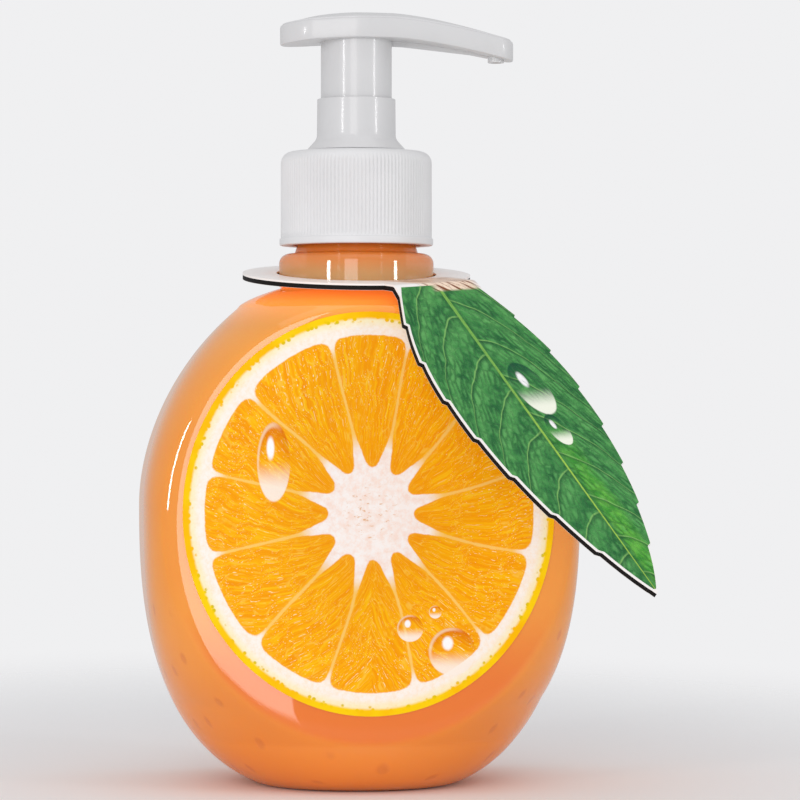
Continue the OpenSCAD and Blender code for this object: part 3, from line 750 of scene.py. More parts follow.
    def thread(self) -> Surface:
        """The neck's screw thread: a blunt ridge on a right-handed helix of 4.23 mm for each turn."""
        return helix_ridge(self.thread_root + 0.05, self.thread_crest, THREAD_LOW, self.thread_turns,
                           THREAD_PITCH, 1.7, 0.7)

    def finish(self, finishes: Finishes) -> bpy.types.Material:
        """Makes the clear glossy wall with the soap's orange behind it.

        Below the soap's surface the wall shows the soap, lighter towards the shoulder. The neck above
        it is clear amber. Shallow pores like those of orange peel lie in rows round the lower rim,
        darkened as painted shade in their dimples. Painted shade deepens the orange below the label,
        and a painted orange glow lights the shoulder under the tag ring.
        """
        gloss = Gloss(rough=0.4, coat=0.85, coat_rough=0.03, specular=0.0, subsurface=0.1, radius_mm=3.0)
        mat, g, shader = finishes.start("clear_bottle_full_of_soap", gloss)
        shader.inputs["Subsurface Radius"].default_value = (1.0, 0.45, 0.15)
        shader.inputs["Coat IOR"].default_value = 1.85
        p = g.place()
        x, y, z = g.split(p)
        cloud = g.noise(p, 0.035, 2.0)
        soap = g.mix(g.step(z, 4, 40), srgb(246, 136, 24), srgb(250, 154, 44))
        soap = g.mix(g.step(z, 60, 106), soap, srgb(252, 164, 58))
        soap = g.mix(g.times(g.step(cloud, 0.35, 0.7), 0.3), soap, srgb(236, 130, 30))
        px = g.over(x, self.crease_width / 2)
        pz = g.over(g.minus(z, self.crease_mid), self.crease_height / 2)
        oval = g.vector("LENGTH", g.join(px, pz))
        # painted shade: the panel below the label, inside the crease, is mixed to a deeper, darker orange that
        # stands in for the label's shadow in the soap
        under = g.times(g.step(oval, 1.01, 0.97), g.step(z, 42, 22))
        soap = g.mix(g.times(under, 0.75), soap, srgb(240, 112, 0))
        amber = g.mix(g.step(z, 110, 116), srgb(212, 162, 98), srgb(242, 138, 50))
        colour = g.mix(g.step(z, self.neck_z - 0.6, self.neck_z + 0.8), soap, amber)
        turn = g.maths("ARCTAN2", x, g.minus(self.wide_z, z))
        along = g.times(turn, 46.0)
        pores = g.cells(g.join(along, g.times(y, 1.65)), 1 / 10.5, spread=0.3, flat=True)
        pore = g.step(pores, 0.15, 0.05)
        rim = g.times(g.step(g.maths("ABSOLUTE", turn), 1.35, 1.1), g.step(z, 1.0, 3.0))
        pore = g.times(pore, g.times(rim, g.step(oval, 1.03, 1.07)))
        # painted shade: the pores are darkened in colour as well as dented, a dark spot in each dimple
        colour = g.mix(g.times(pore, 0.35), colour, srgb(206, 98, 30))
        g.feed(shader.inputs["Base Color"], colour)
        # painted light: the shoulder just under the tag ring glows orange by emission, lifting the shade that
        # the ring casts there
        high = g.times(g.step(z, 99, 106), g.step(z, self.neck_z + 0.5, self.neck_z))
        g.feed(shader.inputs["Emission Color"], g.mix(high, (0.0, 0.0, 0.0), srgb(236, 130, 54)))
        shader.inputs["Emission Strength"].default_value = 0.45
        g.feed(shader.inputs["Alpha"], g.minus(1.0, g.maths(
            "MULTIPLY", g.step(z, self.neck_z + 0.5, self.neck_z + 2), 0.2)))
        dent = g.minus(1.0, pore)
        g.feed(shader.inputs["Normal"], g.bump(dent, 0.25 * MM, 0.6))
        return mat


def helix_ridge(root: float, crest: float, low: float, turns: float, pitch: float, wide_root: float,
                wide_crest: float, outward: bool = True) -> Surface:
    """Makes a screw thread's ridge that runs out to nothing at both ends.

    Args:
        root: radius of the wall that it stands on.
        crest: radius of its top.
        low: height of its start.
        turns: number of turns, anticlockwise as it rises.
        pitch: rise for each turn.
        wide_root: height of the ridge at its root.
        wide_crest: height of the ridge at its crest.
        outward: True on a neck, False inside a closure.

    Returns:
        A closed ridge: four points carried along the helix, closed at the ends.
    """
    count = int(turns * 72) + 1
    t = np.linspace(0, turns, count)
    fade = np.clip(np.minimum(t, turns - t) / 0.12, 0.08, 1)
    a, mid = t * 2 * np.pi, low + pitch * t
    top = root + (crest - root) * fade
    bed = root - 0.3 if outward else root + 0.3
    sign = 1 if outward else -1
    radii = np.stack([np.full(count, bed), top, top, np.full(count, bed)], 1)
    heights = np.stack([-wide_root / 2 * fade, -wide_crest / 2 * fade, wide_crest / 2 * fade,
                        wide_root / 2 * fade], 1) * sign + mid[:, None]
    rings = np.stack([radii * np.cos(a)[:, None], radii * np.sin(a)[:, None], heights], -1)
    ends = loft(rings)
    first = np.array([[0, 1, 2, 3]])
    last = np.array([[3, 2, 1, 0]]) + (count - 1) * 4
    return Surface(ends.points, ends.faces + [first, last])


# ----------------------------------------------------------------------- label


@dataclass(frozen=True)
class FruitLabel:
    """The oval front label: a printed slice of citrus fruit on a thin film.

    Each drop is its middle across and up, its half width and its half height.
    """

    body: BottleBody
    half_w: float = 39.7
    half_h: float = 42.8
    mid_z: float = 59.7
    glue: float = 0.05
    film: float = 0.2
    segments: int = 12
    rind: float = 2.1
    pith: float = 4.6
    core: float = 9.2
    drops: tuple[tuple[float, ...], ...] = (
        (17.2, 30.4, 5.2, 5.2), (8.2, 35.4, 2.9, 2.9), (13.6, 38.8, 1.4, 1.4), (-20.6, 70.6, 3.6, 8.6))

    def surface(self) -> Surface:
        """An oval sheet that follows the bowed panel: rings of x = a r sin t, z = c r cos t."""
        r = np.concatenate([np.linspace(0.04, 0.96, 34), [0.985, 1.0]])[:, None]
        t = np.arange(180)[None] * 2 * np.pi / 180
        x, z = self.half_w * r * np.sin(t), self.mid_z + self.half_h * r * np.cos(t)
        depth = self.body.panel(x, z)

        def face(over: float) -> np.ndarray:
            """One side of the sheet at a height over the panel."""
            return np.stack([x, -(depth + over), z], -1)

        front, back = face(self.glue + self.film), face(self.glue)
        rings = np.concatenate([back, front[::-1]])
        mid = self.body.panel(np.zeros(1), np.array([self.mid_z]))[0]
        surface = loft(rings, foot=np.array([0, -(mid + self.glue), self.mid_z]),
                       crown=np.array([0, -(mid + self.glue + self.film), self.mid_z]))
        return surface

    def finish(self, finishes: Finishes) -> bpy.types.Material:
        """Makes the printed slice: rind, pith, segments of pulp, membranes, core and dew drops.

        Polar numbers about the oval's middle give the distance to the rim and to the nearest
        membrane, and each field of colour is a smooth step of those distances.
        """
        mat, g, shader = finishes.start("fruit_slice_print", Gloss(rough=0.5, specular=0.08))
        p = g.place()
        x, _, z = g.split(p)
        up = g.minus(z, self.mid_z)
        px, pz = g.over(x, self.half_w), g.over(up, self.half_h)
        r = g.vector("LENGTH", g.join(px, pz))
        turn = g.maths("ARCTAN2", px, pz)
        mean = (self.half_w + self.half_h) / 2
        reach = g.times(r, mean)
        to_rim = g.minus(mean, reach)
        wobble = g.times(g.minus(g.noise(p, 0.42, 3.0, 0.6), 0.5), 1.5)
        fine = g.times(g.minus(g.noise(p, 1.6, 3.0, 0.7), 0.5), 0.9)
        # segments: the distance to the nearest membrane, to the pith and to the core, joined softly
        count = self.segments / (2 * math.pi)
        lean = g.times(g.minus(g.noise(g.join(px, pz), 1.3, 0.0), 0.5), 0.2)
        slot = g.times(g.plus(turn, lean), count)
        off = g.maths("ABSOLUTE", g.minus(g.maths("FRACT", g.plus(slot, 40.5)), 0.5))
        arc = g.times(g.minus(0.5, off), 2 * math.pi / self.segments)
        gap = g.maths("MULTIPLY_ADD", g.step(reach, 18.0, 9.5), 1.0, 0.14)
        to_side = g.minus(g.times(arc, reach), gap)
        to_out = g.minus(to_rim, self.pith)
        flesh = g.maths("SMOOTH_MIN", to_side, to_out, 4.6)
        flesh = g.maths("SMOOTH_MIN", flesh, g.minus(reach, self.core), 2.6)
        flesh = g.plus(flesh, g.plus(g.times(wobble, 0.22), g.times(fine, 0.3)))
        pulp = g.step(flesh, 0.0, 0.3)
        # pulp: long narrow sacs that point to the core, each of its own shade, with broken bright strokes
        bend = g.times(g.minus(g.noise(p, 0.13, 2.0), 0.5), 3.4)
        fanned = g.times(turn, g.maths("MULTIPLY_ADD", r, 5.0, 15.0))
        ray = g.join(g.plus(fanned, bend), g.plus(g.over(reach, 6.5), bend))
        shade = g.cell_shade(ray)
        edges = g.step(g.cells(ray, 1.0, edges=True, flat=True), 0.1, 0.02)
        sacs = g.noise(g.vector("MULTIPLY", ray, (2.6, 0.9, 1.0)), 1.0, 3.0, 0.6)
        strokes = g.step(g.noise(g.vector("MULTIPLY", ray, (3.4, 2.6, 1.0)), 1.0, 2.0, 0.7), 0.62, 0.72)
        specks = g.step(g.noise(g.vector("MULTIPLY", ray, (6.5, 7.5, 1.0)), 1.0, 1.0, 0.6), 0.64, 0.72)
        deep, warm, light = srgb(246, 150, 0), srgb(255, 180, 2), srgb(255, 204, 24)
        both = g.maths("ADD", g.times(shade, 0.45), g.step(sacs, 0.32, 0.72), clamp=True)
        colour = g.mix(both, deep, warm)
        colour = g.mix(g.step(sacs, 0.5, 0.78), colour, light)
        colour = g.mix(g.times(g.step(reach, 18, 9), 0.5), colour, deep)
        broken = g.step(g.noise(p, 0.5, 2.0), 0.42, 0.62)
        colour = g.mix(g.times(g.times(edges, broken), 0.55), colour, srgb(255, 206, 76))
        colour = g.mix(g.times(strokes, 0.7), colour, srgb(255, 208, 84))
        outer = g.maths("MULTIPLY_ADD", g.step(reach, 14, 32), 0.7, 0.25)
        colour = g.mix(g.times(specks, outer), colour, srgb(255, 240, 190))
        colour = g.mix(g.times(g.step(flesh, 1.3, 0.1), 0.35), colour, srgb(252, 176, 40))
        # pith, core and membranes
        white = g.mix(g.step(g.noise(p, 0.9, 4.0, 0.7), 0.35, 0.75), srgb(255, 248, 240), srgb(254, 236, 214))
        rosy = g.mix(g.step(g.noise(p, 0.5, 4.0, 0.7), 0.35, 0.7), srgb(255, 250, 247), srgb(252, 230, 218))
        white = g.mix(g.step(reach, 20, 12), white, rosy)
        flat = g.noise(g.vector("MULTIPLY", p, (0.7, 1.0, 1.6)), 1.0, 4.0, 0.7)
        fleck = g.times(g.step(flat, 0.58, 0.66), g.step(reach, 8.0, 3.5))
        white = g.mix(g.times(fleck, 0.8), white, srgb(222, 160, 84))
        inner = g.times(g.step(to_rim, self.pith + 1.0, self.pith + 4.5), g.step(reach, 12.5, 17.0))
        white = g.mix(inner, white, srgb(254, 204, 104))
        colour = g.mix(pulp, white, colour)
        # rind: yellow with a dotted greenish inner edge
        dots = g.step(g.cells(p, 0.85, spread=1.0), 0.5, 0.2)
        ring = g.plus(to_rim, g.times(wobble, 0.22))
        ring = g.minus(ring, g.times(dots, 0.6))
        rind = g.step(ring, self.rind - 0.3, self.rind - 1.0)
        glow = g.step(to_rim, self.rind + 1.6, self.rind - 0.6)
        colour = g.mix(g.times(glow, 0.5), colour, srgb(255, 236, 140))
        yellow = g.mix(g.times(g.step(to_rim, 0.4, 2.2), dots), srgb(255, 212, 8), srgb(210, 190, 10))
        yellow = g.mix(g.step(g.noise(p, 0.12, 2.0), 0.4, 0.65), yellow, srgb(255, 192, 0))
        colour = g.mix(rind, colour, yellow)
        # printed dew drops
        for cx, cz, wide, tall in self.drops:
            drop = g.group(finishes.drop, Across=g.over(g.minus(x, cx), wide),
                           Up=g.over(g.minus(z, cz), tall))
            colour = g.mix(g.times(drop.outputs["Rim"], 0.7), colour, srgb(214, 84, 0))
            colour = g.mix(g.times(drop.outputs["Pool"], 0.9), colour, srgb(255, 244, 232))
            colour = g.mix(g.times(drop.outputs["Line"], 0.6), colour, srgb(255, 236, 200))
            colour = g.mix(drop.outputs["Glint"], colour, (1.0, 1.0, 1.0))
        g.feed(shader.inputs["Base Color"], colour)
        skin = g.group(finishes.skin, Point=p, Grain_Size=0.3)
        g.feed(shader.inputs["Normal"], g.bump(skin.outputs["Grain"], 0.004 * MM, 0.4))
        return mat


# ------------------------------------------------------------------- leaf tag


@dataclass(frozen=True)
class LeafTag:
    """The card tag round the neck: a ring and a folded leaf with a card behind it, its cut edges
    painted near-black as the tag's shadow.

    Each drop is its place down and across the leaf, its half width and its length by its width.
    """

    tag_z: float = 110.1
    tilt_deg: float = 6.9
    turn_deg: float = 34.3
    fold_out: float = 25.5
    fold_deg: float = 39.8
    vein_pitch: float = 11.5
    drops: tuple[tuple[float, ...], ...] = ((32.0, 5.6, 4.8, 2.3), (44.0, 4.8, 2.8, 2.3))

    def frame(self) -> tuple[np.ndarray, np.ndarray, np.ndarray]:
        """Gives the fold's middle and the leaf's two directions.

        Returns:
            A point on the fold in millimetres, the unit vector down the midrib and the unit vector
            across the leaf: turns about Y, Z and X applied in that order.
        """
        f, t, k = (math.radians(v) for v in (self.fold_deg, self.turn_deg - 90, self.tilt_deg))
        ry = np.array([[math.cos(f), 0, math.sin(f)], [0, 1, 0], [-math.sin(f), 0, math.cos(f)]])
        rz = np.array([[math.cos(t), -math.sin(t), 0], [math.sin(t), math.cos(t), 0], [0, 0, 1]])
        rx = np.array([[1, 0, 0], [0, math.cos(k), -math.sin(k)], [0, math.sin(k), math.cos(k)]])
        origin = rx @ rz @ np.array([self.fold_out, 0, 0]) + [0, 0, self.tag_z]
        return origin, rx @ rz @ ry @ np.array([1.0, 0, 0]), rx @ rz @ ry @ np.array([0, 1.0, 0])

    def leaf_numbers(self, g: Graph) -> tuple[Any, Any, Any]:
        """Gives the point in millimetres, the distance down the leaf and the distance across it."""
        origin, down, across = self.frame()
        p = g.place()
        off = g.vector("SUBTRACT", p, tuple(origin))
        return p, g.vector("DOT_PRODUCT", off, tuple(down)), g.vector("DOT_PRODUCT", off, tuple(across))

    def stalk(self, g: Graph, s: Any, u: Any) -> tuple[Any, Any]:
        """Gives the mask and the colour of the printed twisted stalk that runs over the fold."""
        twist = g.noise(g.join(g.times(g.minus(s, g.times(u, 0.9)), 0.9),
                               g.times(u, 0.12)), 1.0, 3.0, 0.6)
        bark = g.mix(g.step(twist, 0.42, 0.54), srgb(140, 78, 46), srgb(255, 230, 206))
        band = g.times(g.step(g.minus(u, g.times(s, 0.4)), -6.0, -2.5),
                       g.step(s, -9.0, -6.0))
        band = g.times(band, g.step(s, 2.6, 1.6))
        return g.times(band, g.step(u, 13.0, 9.0)), bark

    def leaf_finish(self, finishes: Finishes) -> bpy.types.Material:
        """Makes the printed leaf: a straight midrib, curved side veins, a fine net and dew drops.

        A side vein is where the distance down the leaf, less a curve of the distance across it, is a
        whole number of pitches. Shade falls on one side of each vein and light on the other.
        """
        mat, g, shader = finishes.start("leaf_print", Gloss(rough=0.5, specular=0.15))
        p, s, u = self.leaf_numbers(g)
        wave = g.times(g.minus(g.noise(p, 0.09, 2.0), 0.5), 5.0)
        side = g.maths("ABSOLUTE", u)
        right = g.step(u, -0.01, 0.01)
        reach = g.plus(g.times(side, 0.35), g.times(g.times(side, side), 0.055))
        phase = g.minus(g.plus(s, wave), reach)
        phase = g.plus(g.over(phase, self.vein_pitch), g.times(right, 0.45))
        part = g.maths("FRACT", g.plus(phase, 30.2))
        from_vein = g.times(g.minus(0.5, g.maths("ABSOLUTE", g.minus(part, 0.5))),
                            self.vein_pitch)
        vein = g.step(from_vein, 0.34, 0.1)
        # cushions of leaf between the veins: bright past a vein, dark before the next
        swell = g.maths("SINE", g.times(part, 2 * math.pi))
        quilt = g.noise(p, 0.42, 3.0, 0.65)
        light = g.plus(g.times(swell, 0.13), quilt)
        dark, mid, pale = srgb(38, 112, 58), srgb(76, 154, 80), srgb(114, 188, 106)
        colour = g.mix(g.step(light, 0.2, 0.6), dark, mid)
        colour = g.mix(g.times(g.step(light, 0.52, 0.85), 0.6), colour, pale)
        # a brighter strip beside the midrib towards the tip
        strip = g.times(g.step(u, 0.0, 1.6), g.step(g.plus(u, g.times(wave, 0.5)), 8.0, 4.5))
        strip = g.times(strip, g.step(s, 34, 58))
        colour = g.mix(g.times(strip, 0.85), colour,
                       g.mix(g.step(quilt, 0.3, 0.7), srgb(62, 158, 48), srgb(112, 196, 70)))
        # fine net: cushions in a ladder between the side veins, with dark furrows round them
        jitter = g.times(g.minus(g.noise(p, 0.5, 2.0), 0.5), 0.9)
        ladder = g.join(g.maths("MULTIPLY_ADD", phase, 4.2, jitter), g.maths("MULTIPLY_ADD", side, 0.5, jitter))
        furrow = g.cells(ladder, 1.0, edges=True, spread=0.85, flat=True)
        tiny = g.cells(ladder, 2.7, edges=True, spread=0.9, flat=True)
        faint = g.step(g.noise(p, 0.2, 2.0), 0.3, 0.65)
        colour = g.mix(g.times(g.times(g.step(furrow, 0.2, 0.02), faint), 0.5), colour,
                       srgb(16, 84, 42))
        colour = g.mix(g.times(g.times(g.step(furrow, 0.2, 0.42), faint), 0.4), colour,
                       srgb(112, 186, 108))
        colour = g.mix(g.times(g.step(tiny, 0.1, 0.02), 0.14), colour, srgb(18, 80, 42))
        cushion = g.plus(g.times(g.step(furrow, 0.0, 0.3), 0.9), g.times(quilt, 0.35))
        shade = g.step(g.minus(g.times(part, self.vein_pitch), 0.35), 1.5, 0.0)
        colour = g.mix(g.times(shade, 0.55), colour, srgb(12, 70, 40))
        fade = g.step(side, 17.0, 8.0)
        colour = g.mix(g.times(vein, g.maths("MULTIPLY_ADD", fade, 0.4, 0.45)), colour, srgb(132, 190, 104))
        half = g.maths("MULTIPLY_ADD", s, -0.0042, 0.5)
        rib = g.step(g.minus(side, half), 0.1, -0.15)
        gutter = g.step(side, 1.9, 0.5)
        colour = g.mix(g.times(gutter, 0.4), colour, srgb(24, 96, 44))
        colour = g.mix(rib, colour, g.mix(g.step(s, 20, 60), srgb(128, 186, 84), srgb(172, 216, 84)))
        mask, bark = self.stalk(g, s, u)
        colour = g.mix(g.times(mask, g.step(u, -2.5, 0.0)), colour, bark)
        for cs, cu, size, long in self.drops:
            drop = g.group(finishes.drop, Across=g.over(g.minus(u, cu), size),
                           Up=g.over(g.minus(cs, s), size * long / 1.4))
            colour = g.mix(g.times(drop.outputs["Rim"], 0.9), colour, srgb(0, 78, 52))
            colour = g.mix(drop.outputs["Pool"], colour, srgb(252, 255, 238))
            colour = g.mix(drop.outputs["Glint"], colour, (1.0, 1.0, 1.0))
            cushion = g.times(cushion, g.minus(1.0, drop.outputs["Pool"]))
        g.feed(shader.inputs["Base Color"], colour)
        g.feed(shader.inputs["Normal"], g.bump(cushion, 0.45 * MM, 0.6))
        return mat

    def backing_finish(self, finishes: Finishes) -> bpy.types.Material:
        """Makes the backing card: its cut edges painted near-black as the tag's hard shadow band, and pale
        board underneath.

        The underside is the first 0.03 mm of the card's thickness, measured from the ring's plane on
        the ring and from the leaf's plane past the fold.
        """
        mat, g, shader = finishes.start("tag_backing_board_painted_shadow_edges", Gloss(rough=0.7, specular=0.2))
        p, s, _ = self.leaf_numbers(g)
        origin, down, across = self.frame()
        tilt = math.radians(self.tilt_deg)
        ring_up = (0.0, -math.sin(tilt), math.cos(tilt))
        leaf_up = tuple(np.cross(down, across))
        over_ring = g.vector("DOT_PRODUCT", g.vector("SUBTRACT", p, (0.0, 0.0, self.tag_z)), ring_up)
        over_leaf = g.vector("DOT_PRODUCT", g.vector("SUBTRACT", p, tuple(origin)), leaf_up)
        past = g.step(s, -0.3, 0.3)
        over = g.plus(g.times(over_ring, g.minus(1.0, past)),
                       g.times(over_leaf, past))
        skin = g.group(finishes.skin, Point=p, Mottle_Size=5.0, Grain_Size=0.25)
        # painted shadow: the near-black cut edges make the dark band along the tag's lower edges, a hard shadow
        # of the tag
        edge = g.mix(skin.outputs["Mottle"], srgb(12, 9, 9), srgb(24, 20, 19))
        board = g.mix(skin.outputs["Mottle"], srgb(226, 220, 212), srgb(240, 236, 230))
        g.feed(shader.inputs["Base Color"], g.mix(g.step(over, 0.05, 0.03), edge, board))
        g.feed(shader.inputs["Normal"], g.bump(skin.outputs["Grain"], 0.02 * MM, 0.4))
        return mat

    def card_finish(self, finishes: Finishes) -> bpy.types.Material:
        """Makes the white card with the printed twisted stalk that runs over the ring to the leaf."""
        mat, g, shader = finishes.start("tag_card_white", Gloss(rough=0.5, coat=0.15, coat_rough=0.2))
        p, s, u = self.leaf_numbers(g)
        skin = g.group(finishes.skin, Point=p, Mottle_Size=6.0, Grain_Size=0.25)
        white = g.mix(skin.outputs["Mottle"], srgb(255, 250, 248), srgb(255, 254, 252))
        band, bark = self.stalk(g, s, u)
        g.feed(shader.inputs["Base Color"], g.mix(band, white, bark))
        g.feed(shader.inputs["Normal"], g.bump(skin.outputs["Grain"], 0.01 * MM, 0.4))
        return mat


# ----------------------------------------------------------------------- pump


@dataclass(frozen=True)
class Closure:
    """The ribbed screw closure with its rounded shoulder, smooth foot band and inner thread."""

    low_z: float = 117.6
    height: float = 20.6
    radius: float = 16.6
    band: float = 16.9
    band_h: float = 1.6
    top_t: float = 1.8
    round: float = 2.5
    bore: float = 14.15
    hole: float = 7.5
    ribs: int = 120
    rib_deep: float = 0.3
    thread_deep: float = 1.05
    thread_turns: float = 1.7

    def surface(self) -> Surface:
        """Turns the closed outline and presses 120 grooves into its side: r - d (1 + cos n a) / 2."""
        low, top = self.low_z, self.low_z + self.height
        path = rounded_path([
            (self.bore, low, 0.25),
            (self.band, low, 0.35),
            (self.band, low + self.band_h, 0.3),
            (self.radius, low + self.band_h, 0.0),
            (self.radius, low + self.band_h + 0.4, 0.0),
            (self.radius, low + self.band_h + 1.1, 0.0),
            (self.radius, low + 9, 0.0),
            (self.radius, top - self.round - 0.9, 0.0),
            (self.radius, top, self.round),
            (self.hole, top, 0.3),
            (self.hole, top - self.top_t, 0.2),
            (self.bore, top - self.top_t, 0.3),
        ], steps=7)
        a = np.arange(self.ribs * 6) * 2 * np.pi / (self.ribs * 6)
        r, z = path[:, :1], path[:, 1:]
        rise = np.clip((z - (low + self.band_h + 0.3)) / 0.8, 0, 1) * np.clip((top - 1.0 - z) / 1.6, 0, 1)
        on_side = np.clip((r - (self.radius - 0.8)) / 0.4, 0, 1) * rise
        wave = (0.5 - 0.5 * np.cos(self.ribs * a)) ** 1.5
        radius = r - self.rib_deep * on_side * wave
        rings = np.stack([radius * np.cos(a), radius * np.sin(a), np.repeat(z, len(a), 1)], -1)
        return closed_loft(rings)

    def thread(self) -> Surface:
        """The inner thread, half a pitch above the neck's so that the two mesh."""
        return helix_ridge(self.bore - 0.05, self.bore - self.thread_deep, THREAD_LOW + THREAD_PITCH / 2,
                           self.thread_turns, THREAD_PITCH, 1.6, 0.6, outward=False)


@dataclass(frozen=True)
class Collar:
    """The sleeve on top of the closure, with a flared foot and a plug below."""

    low: float = 138.5
    top: float = 149.8
    radius: float = 8.6
    foot: float = 11.0
    sleeve: float = 8.1
    floor_z: float = 140.0
    bore: float = 3.5
    plug: float = 7.2
    flange_z: float = 136.0
    inner_plug: float = 5.62
    plug_low: float = 130.0

    def surface(self) -> Surface:
        """Turns the sleeve's closed outline."""
        path = rounded_path([
            (self.bore, self.plug_low, 0.1),
            (self.inner_plug, self.plug_low, 0.3),
            (self.inner_plug, self.flange_z, 0.0),
            (self.plug, self.flange_z, 0.1),
            (self.plug, self.low, 0.0),
            (self.foot, self.low, 0.12),
            (self.radius + 0.08, self.low + 2.6, 2.2),
            (self.radius, self.top, 0.2),
            (self.sleeve, self.top, 0.2),
            (self.sleeve, self.floor_z, 0.3),
            (self.bore, self.floor_z, 0.2),
        ], steps=8)
        return turned(path, 160)


@dataclass(frozen=True)
class PumpHead:
    """The pressed head: a level cap with a drooping spout, a crowned cover and a round skirt."""

    edge_z: float = 167.0
    side_h: float = 4.4
    spout_l: float = 34.8
    tail_l: float = 16.8
    main_r: float = 9.5
    tail_r: float = 8.5
    tip_r: float = 4.3
    tail_drop: float = 1.2
    spout_drop: float = 4.4
    level_from: float = 2.0
    level_to: float = 7.5
    crown_h: float = 1.5
    cover_rim: float = 0.3
    cover_edge: float = 0.5
    skirt_r: float = 7.8
    skirt_z: float = 149.3
    mouth_in: float = 3.8
    mouth_r: float = 1.8
    mouth_bore: float = 1.1
    root: float = 0.4
    skirt_wall: float = 1.0
    boss_r: float = 4.4
    boss_bore: float = 3.2
    boss_in: float = 2.0
    mouth_l: float = 1.0

    def side_edge(self, x: np.ndarray) -> np.ndarray:
        """Height of the side wall's upper edge: level over the axis, dropping towards both ends."""
        back = np.minimum(0, x - self.level_from) / (self.tail_l + self.level_from)
        tail = self.edge_z - self.tail_drop * back ** 2
        run = np.clip((x - self.level_to) / (self.spout_l - self.level_to), 0, None)
        return np.where(x < self.level_to, tail, self.edge_z - self.spout_drop * run**1.5)

    def outline(self) -> tuple[np.ndarray, np.ndarray]:
        """Gives the plan outline and the spine point that each of its points is drawn in to.

        The outline is the envelope of circles on the spine whose radius is the tail's, the main
        one's and the tip's, with straight runs between them.

        Returns:
            Outline and spine points, each of shape (points, 2), anticlockwise from the tip.
        """
        tail, tip = self.tail_r - self.tail_l, self.spout_l - self.tip_r
        lean_out = math.asin((self.main_r - self.tip_r) / tip)
        lean_in = math.asin((self.main_r - self.tail_r) / -tail)
        a = np.linspace(0, np.pi / 2 - lean_out, 20)
        b = np.linspace(np.pi / 2 - lean_out, np.pi / 2 + lean_in, 6)
        c = np.linspace(np.pi / 2 + lean_in, np.pi, 20)
        run = np.linspace(0, 1, 34)[1:-1]

        def arc(angle: np.ndarray, centre: float, radius: float) -> tuple[np.ndarray, np.ndarray]:
            """Points of one circle of the envelope and their spine points."""
            spine = np.stack([np.full_like(angle, centre), np.zeros_like(angle)], 1)
            return spine + radius * np.stack([np.cos(angle), np.sin(angle)], 1), spine

        parts = [arc(a, tip, self.tip_r), arc(b, 0.0, self.main_r), arc(c, tail, self.tail_r)]

        def straight(first: tuple[np.ndarray, np.ndarray], second: tuple[np.ndarray, np.ndarray],
                     count: np.ndarray) -> tuple[np.ndarray, np.ndarray]:
            """Points between the end of one arc and the start of the next."""
            t = count[:, None]
            return tuple(first[i][-1] * (1 - t) + second[i][0] * t for i in range(2))

        order = [parts[0], straight(parts[0], parts[1], run), parts[1],
                 straight(parts[1], parts[2], run[::4]), parts[2]]
        edge = np.concatenate([o[0] for o in order])
        spine = np.concatenate([o[1] for o in order])
        edge = np.concatenate([edge, edge[-2:0:-1] * [1, -1]])
        spine = np.concatenate([spine, spine[-2:0:-1]])
        return edge, spine

    def rings(self, insets: np.ndarray, heights: Callable[[np.ndarray], np.ndarray]) -> np.ndarray:
        """Draws the outline in by several distances and lifts each ring.

        Args:
            insets: distances in from the edge; the share of the way to the spine is limited to 0.97.
            heights: gives heights of shape (rings, points) from the x of shape (rings, points).

        Returns:
            Rings of shape (rings, points, 3).
        """
        edge, spine = self.outline()
        radius = np.linalg.norm(edge - spine, axis=1)
        share = np.clip(insets[:, None] / radius[None], 0, 0.97)
        flat = edge[None] + (spine - edge)[None] * share[..., None]
        return np.concatenate([flat, heights(flat[..., 0])[..., None]], -1)

    def body_surface(self) -> Surface:
        """The cap's underside, side wall and the ledge round its cover, as one closed form."""
        low = np.array([9.5, 6.5, 3.5, 1.2, 0.45, 0.12, 0.0, 0.0, 0.1, 0.3, 0.9, 3.0, 6.5, 9.5])
        up = np.array([0, 0, 0, 0, 0.02, 0.18, 0.5, 3.95, 4.28, 4.4, 4.4, 4.3, 4.3, 4.3])

        def heights(x: np.ndarray) -> np.ndarray:
            """Heights of the side wall's profile below the upper edge."""
            return self.side_edge(x) - self.side_h + up[:, None]

        rings = self.rings(low, heights)
        return loft(rings, foot=rings[0].mean(0), crown=rings[-1].mean(0))

    def cover_surface(self) -> Surface:
        """The crowned cover: it rises from its edge to the spine as a shallow arch."""
        insets = np.array([9.0, 4.0, 0.62, 0.5, 0.5, 0.56, 0.8, 1.3, 2.0, 3.0, 4.2, 5.6, 7.2, 9.0])
        under = np.arange(len(insets)) < 4

        def heights(x: np.ndarray) -> np.ndarray:
            """Heights over the side wall's edge."""
            reach = np.where(x < 0, self.tail_l, self.spout_l) - self.cover_edge
            crown = self.crown_h * np.clip(1 - (np.abs(x) / reach) ** 2, 0.12, None)
            edge, spine = self.outline()
            radius = np.linalg.norm(edge - spine, axis=1)[None]
            t = np.clip((insets[:, None] - self.cover_edge) / (radius - self.cover_edge), 0, 1)
            arch = crown * (1 - (1 - t) ** 2.2)
            lift = np.where(np.arange(len(insets)) == 4, 0.16, self.cover_rim)[:, None]
            return self.side_edge(x) + np.where(under[:, None], -0.05, lift + arch)

        rings = self.rings(insets, heights)
        return loft(rings, foot=rings[0].mean(0), crown=rings[-1].mean(0))

